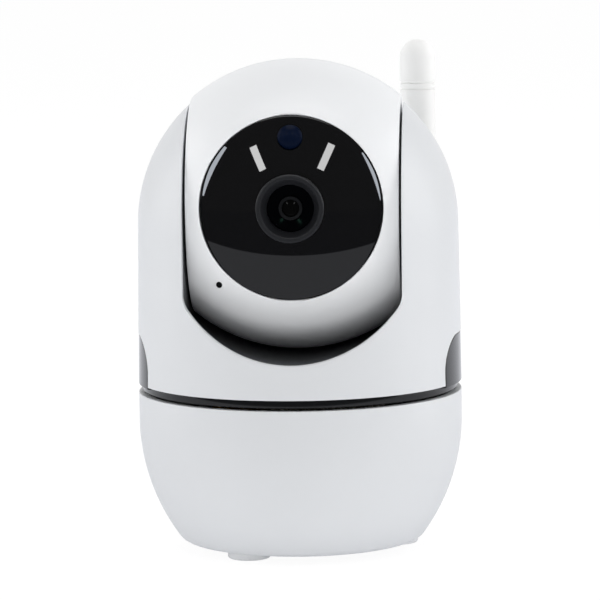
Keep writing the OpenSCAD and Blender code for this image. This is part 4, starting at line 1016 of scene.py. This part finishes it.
# The backdrop is plain white to the camera. To other rays it is bright behind the part and dim in front, and mirrors
# show it a little dimmer.
behind = ramp(tree, way["Y"], -0.1, 0.3, 0.15, 1.0)
dimmed = ramp(tree, path["Is Glossy Ray"], 0.0, 1.0, 1.0, 0.85)
shown = add(tree, "Math", {0: behind, 1: dimmed}, operation="MULTIPLY")
backdrop = add(tree, "Background", {"Color": linear("#FFFFFF"), "Strength": shown})
white = add(tree, "Background", {"Color": linear("#FFFFFF"), "Strength": 1.0})
seen = add(tree, "MixShader", {0: path["Is Camera Ray"], 1: backdrop, 2: white})
add(tree, "OutputWorld", {"Surface": seen})


aim = Vector((0, 0, 0.085))


def lamp(name, azimuth, elevation, distance, width, height, watts, tint="#FFFFFF", lean=0, lights=True, mirrors=True):
    """A soft box aimed at the body's middle: azimuth from the front towards +X, elevation up, lean about its axis.
    It lights matt faces, shows in glossy ones, or both."""
    a, e = math.radians(azimuth), math.radians(elevation)
    at = Vector((math.sin(a) * math.cos(e), -math.cos(a) * math.cos(e), math.sin(e))) * distance
    light = bpy.data.lights.new(name, "AREA")
    light.shape, light.size, light.size_y = "RECTANGLE", width, height
    light.energy, light.color = watts, linear(tint)[:3]
    made = bpy.data.objects.new(name, light)
    turn = at.to_track_quat("Z", "Y").to_matrix().to_4x4() @ Matrix.Rotation(math.radians(lean), 4, "Z")
    made.matrix_world = Matrix.Translation(at + aim) @ turn
    made.visible_camera, made.visible_diffuse, made.visible_glossy = False, lights, mirrors
    scene.collection.objects.link(made)


lamp("strip_left", -24.1, 28.3, 1.53, 0.105, 0.405, 1.95, lean=31.9, lights=False)
lamp("strip_right", 19.2, 29.4, 1.53, 0.107, 0.435, 2.05, lean=-30, lights=False)
lamp("edge_left", -52.2, 19.1, 1.53, 0.08, 0.735, 2.2, tint="#E6ECF6", lean=-15.7, lights=False)
lamp("edge_right", 47.1, 16.6, 1.53, 0.07, 0.725, 2.0, tint="#E6ECF6", lean=12.3, lights=False)
lamp("soft_left", -95, 12, 1.3, 0.9, 1.2, 5.2)
lamp("soft_right", 95, 12, 1.3, 0.9, 1.2, 6.8)
lamp("soft_top", 0, 78, 1.5, 1.2, 1.0, 9.6)
lamp("soft_front", 3, 4, 1.5, 0.5, 0.5, 1.8, mirrors=False)
lamp("table_glow", 0, -18, 1.15, 0.8, 0.4, 4.8, mirrors=False)
# The glow comes from under the table, which lets it through.
table_top.visible_shadow = False

lens = bpy.data.cameras.new("camera")
lens.sensor_width, lens.lens, lens.clip_end = 36, 218.0, 100
camera = bpy.data.objects.new("camera", lens)
eye = Vector((52.0, -898.4, 168.9)) * MM
yaw, pitch, roll = math.radians(3.3), math.radians(6.824), math.radians(0.777)
view = Vector((-math.cos(pitch) * math.sin(yaw), math.cos(pitch) * math.cos(yaw), -math.sin(pitch)))
aimed = view.to_track_quat("-Z", "Y").to_matrix().to_4x4()
camera.matrix_world = Matrix.Translation(eye) @ aimed @ Matrix.Rotation(-roll, 4, "Z")
scene.collection.objects.link(camera)
scene.camera = camera
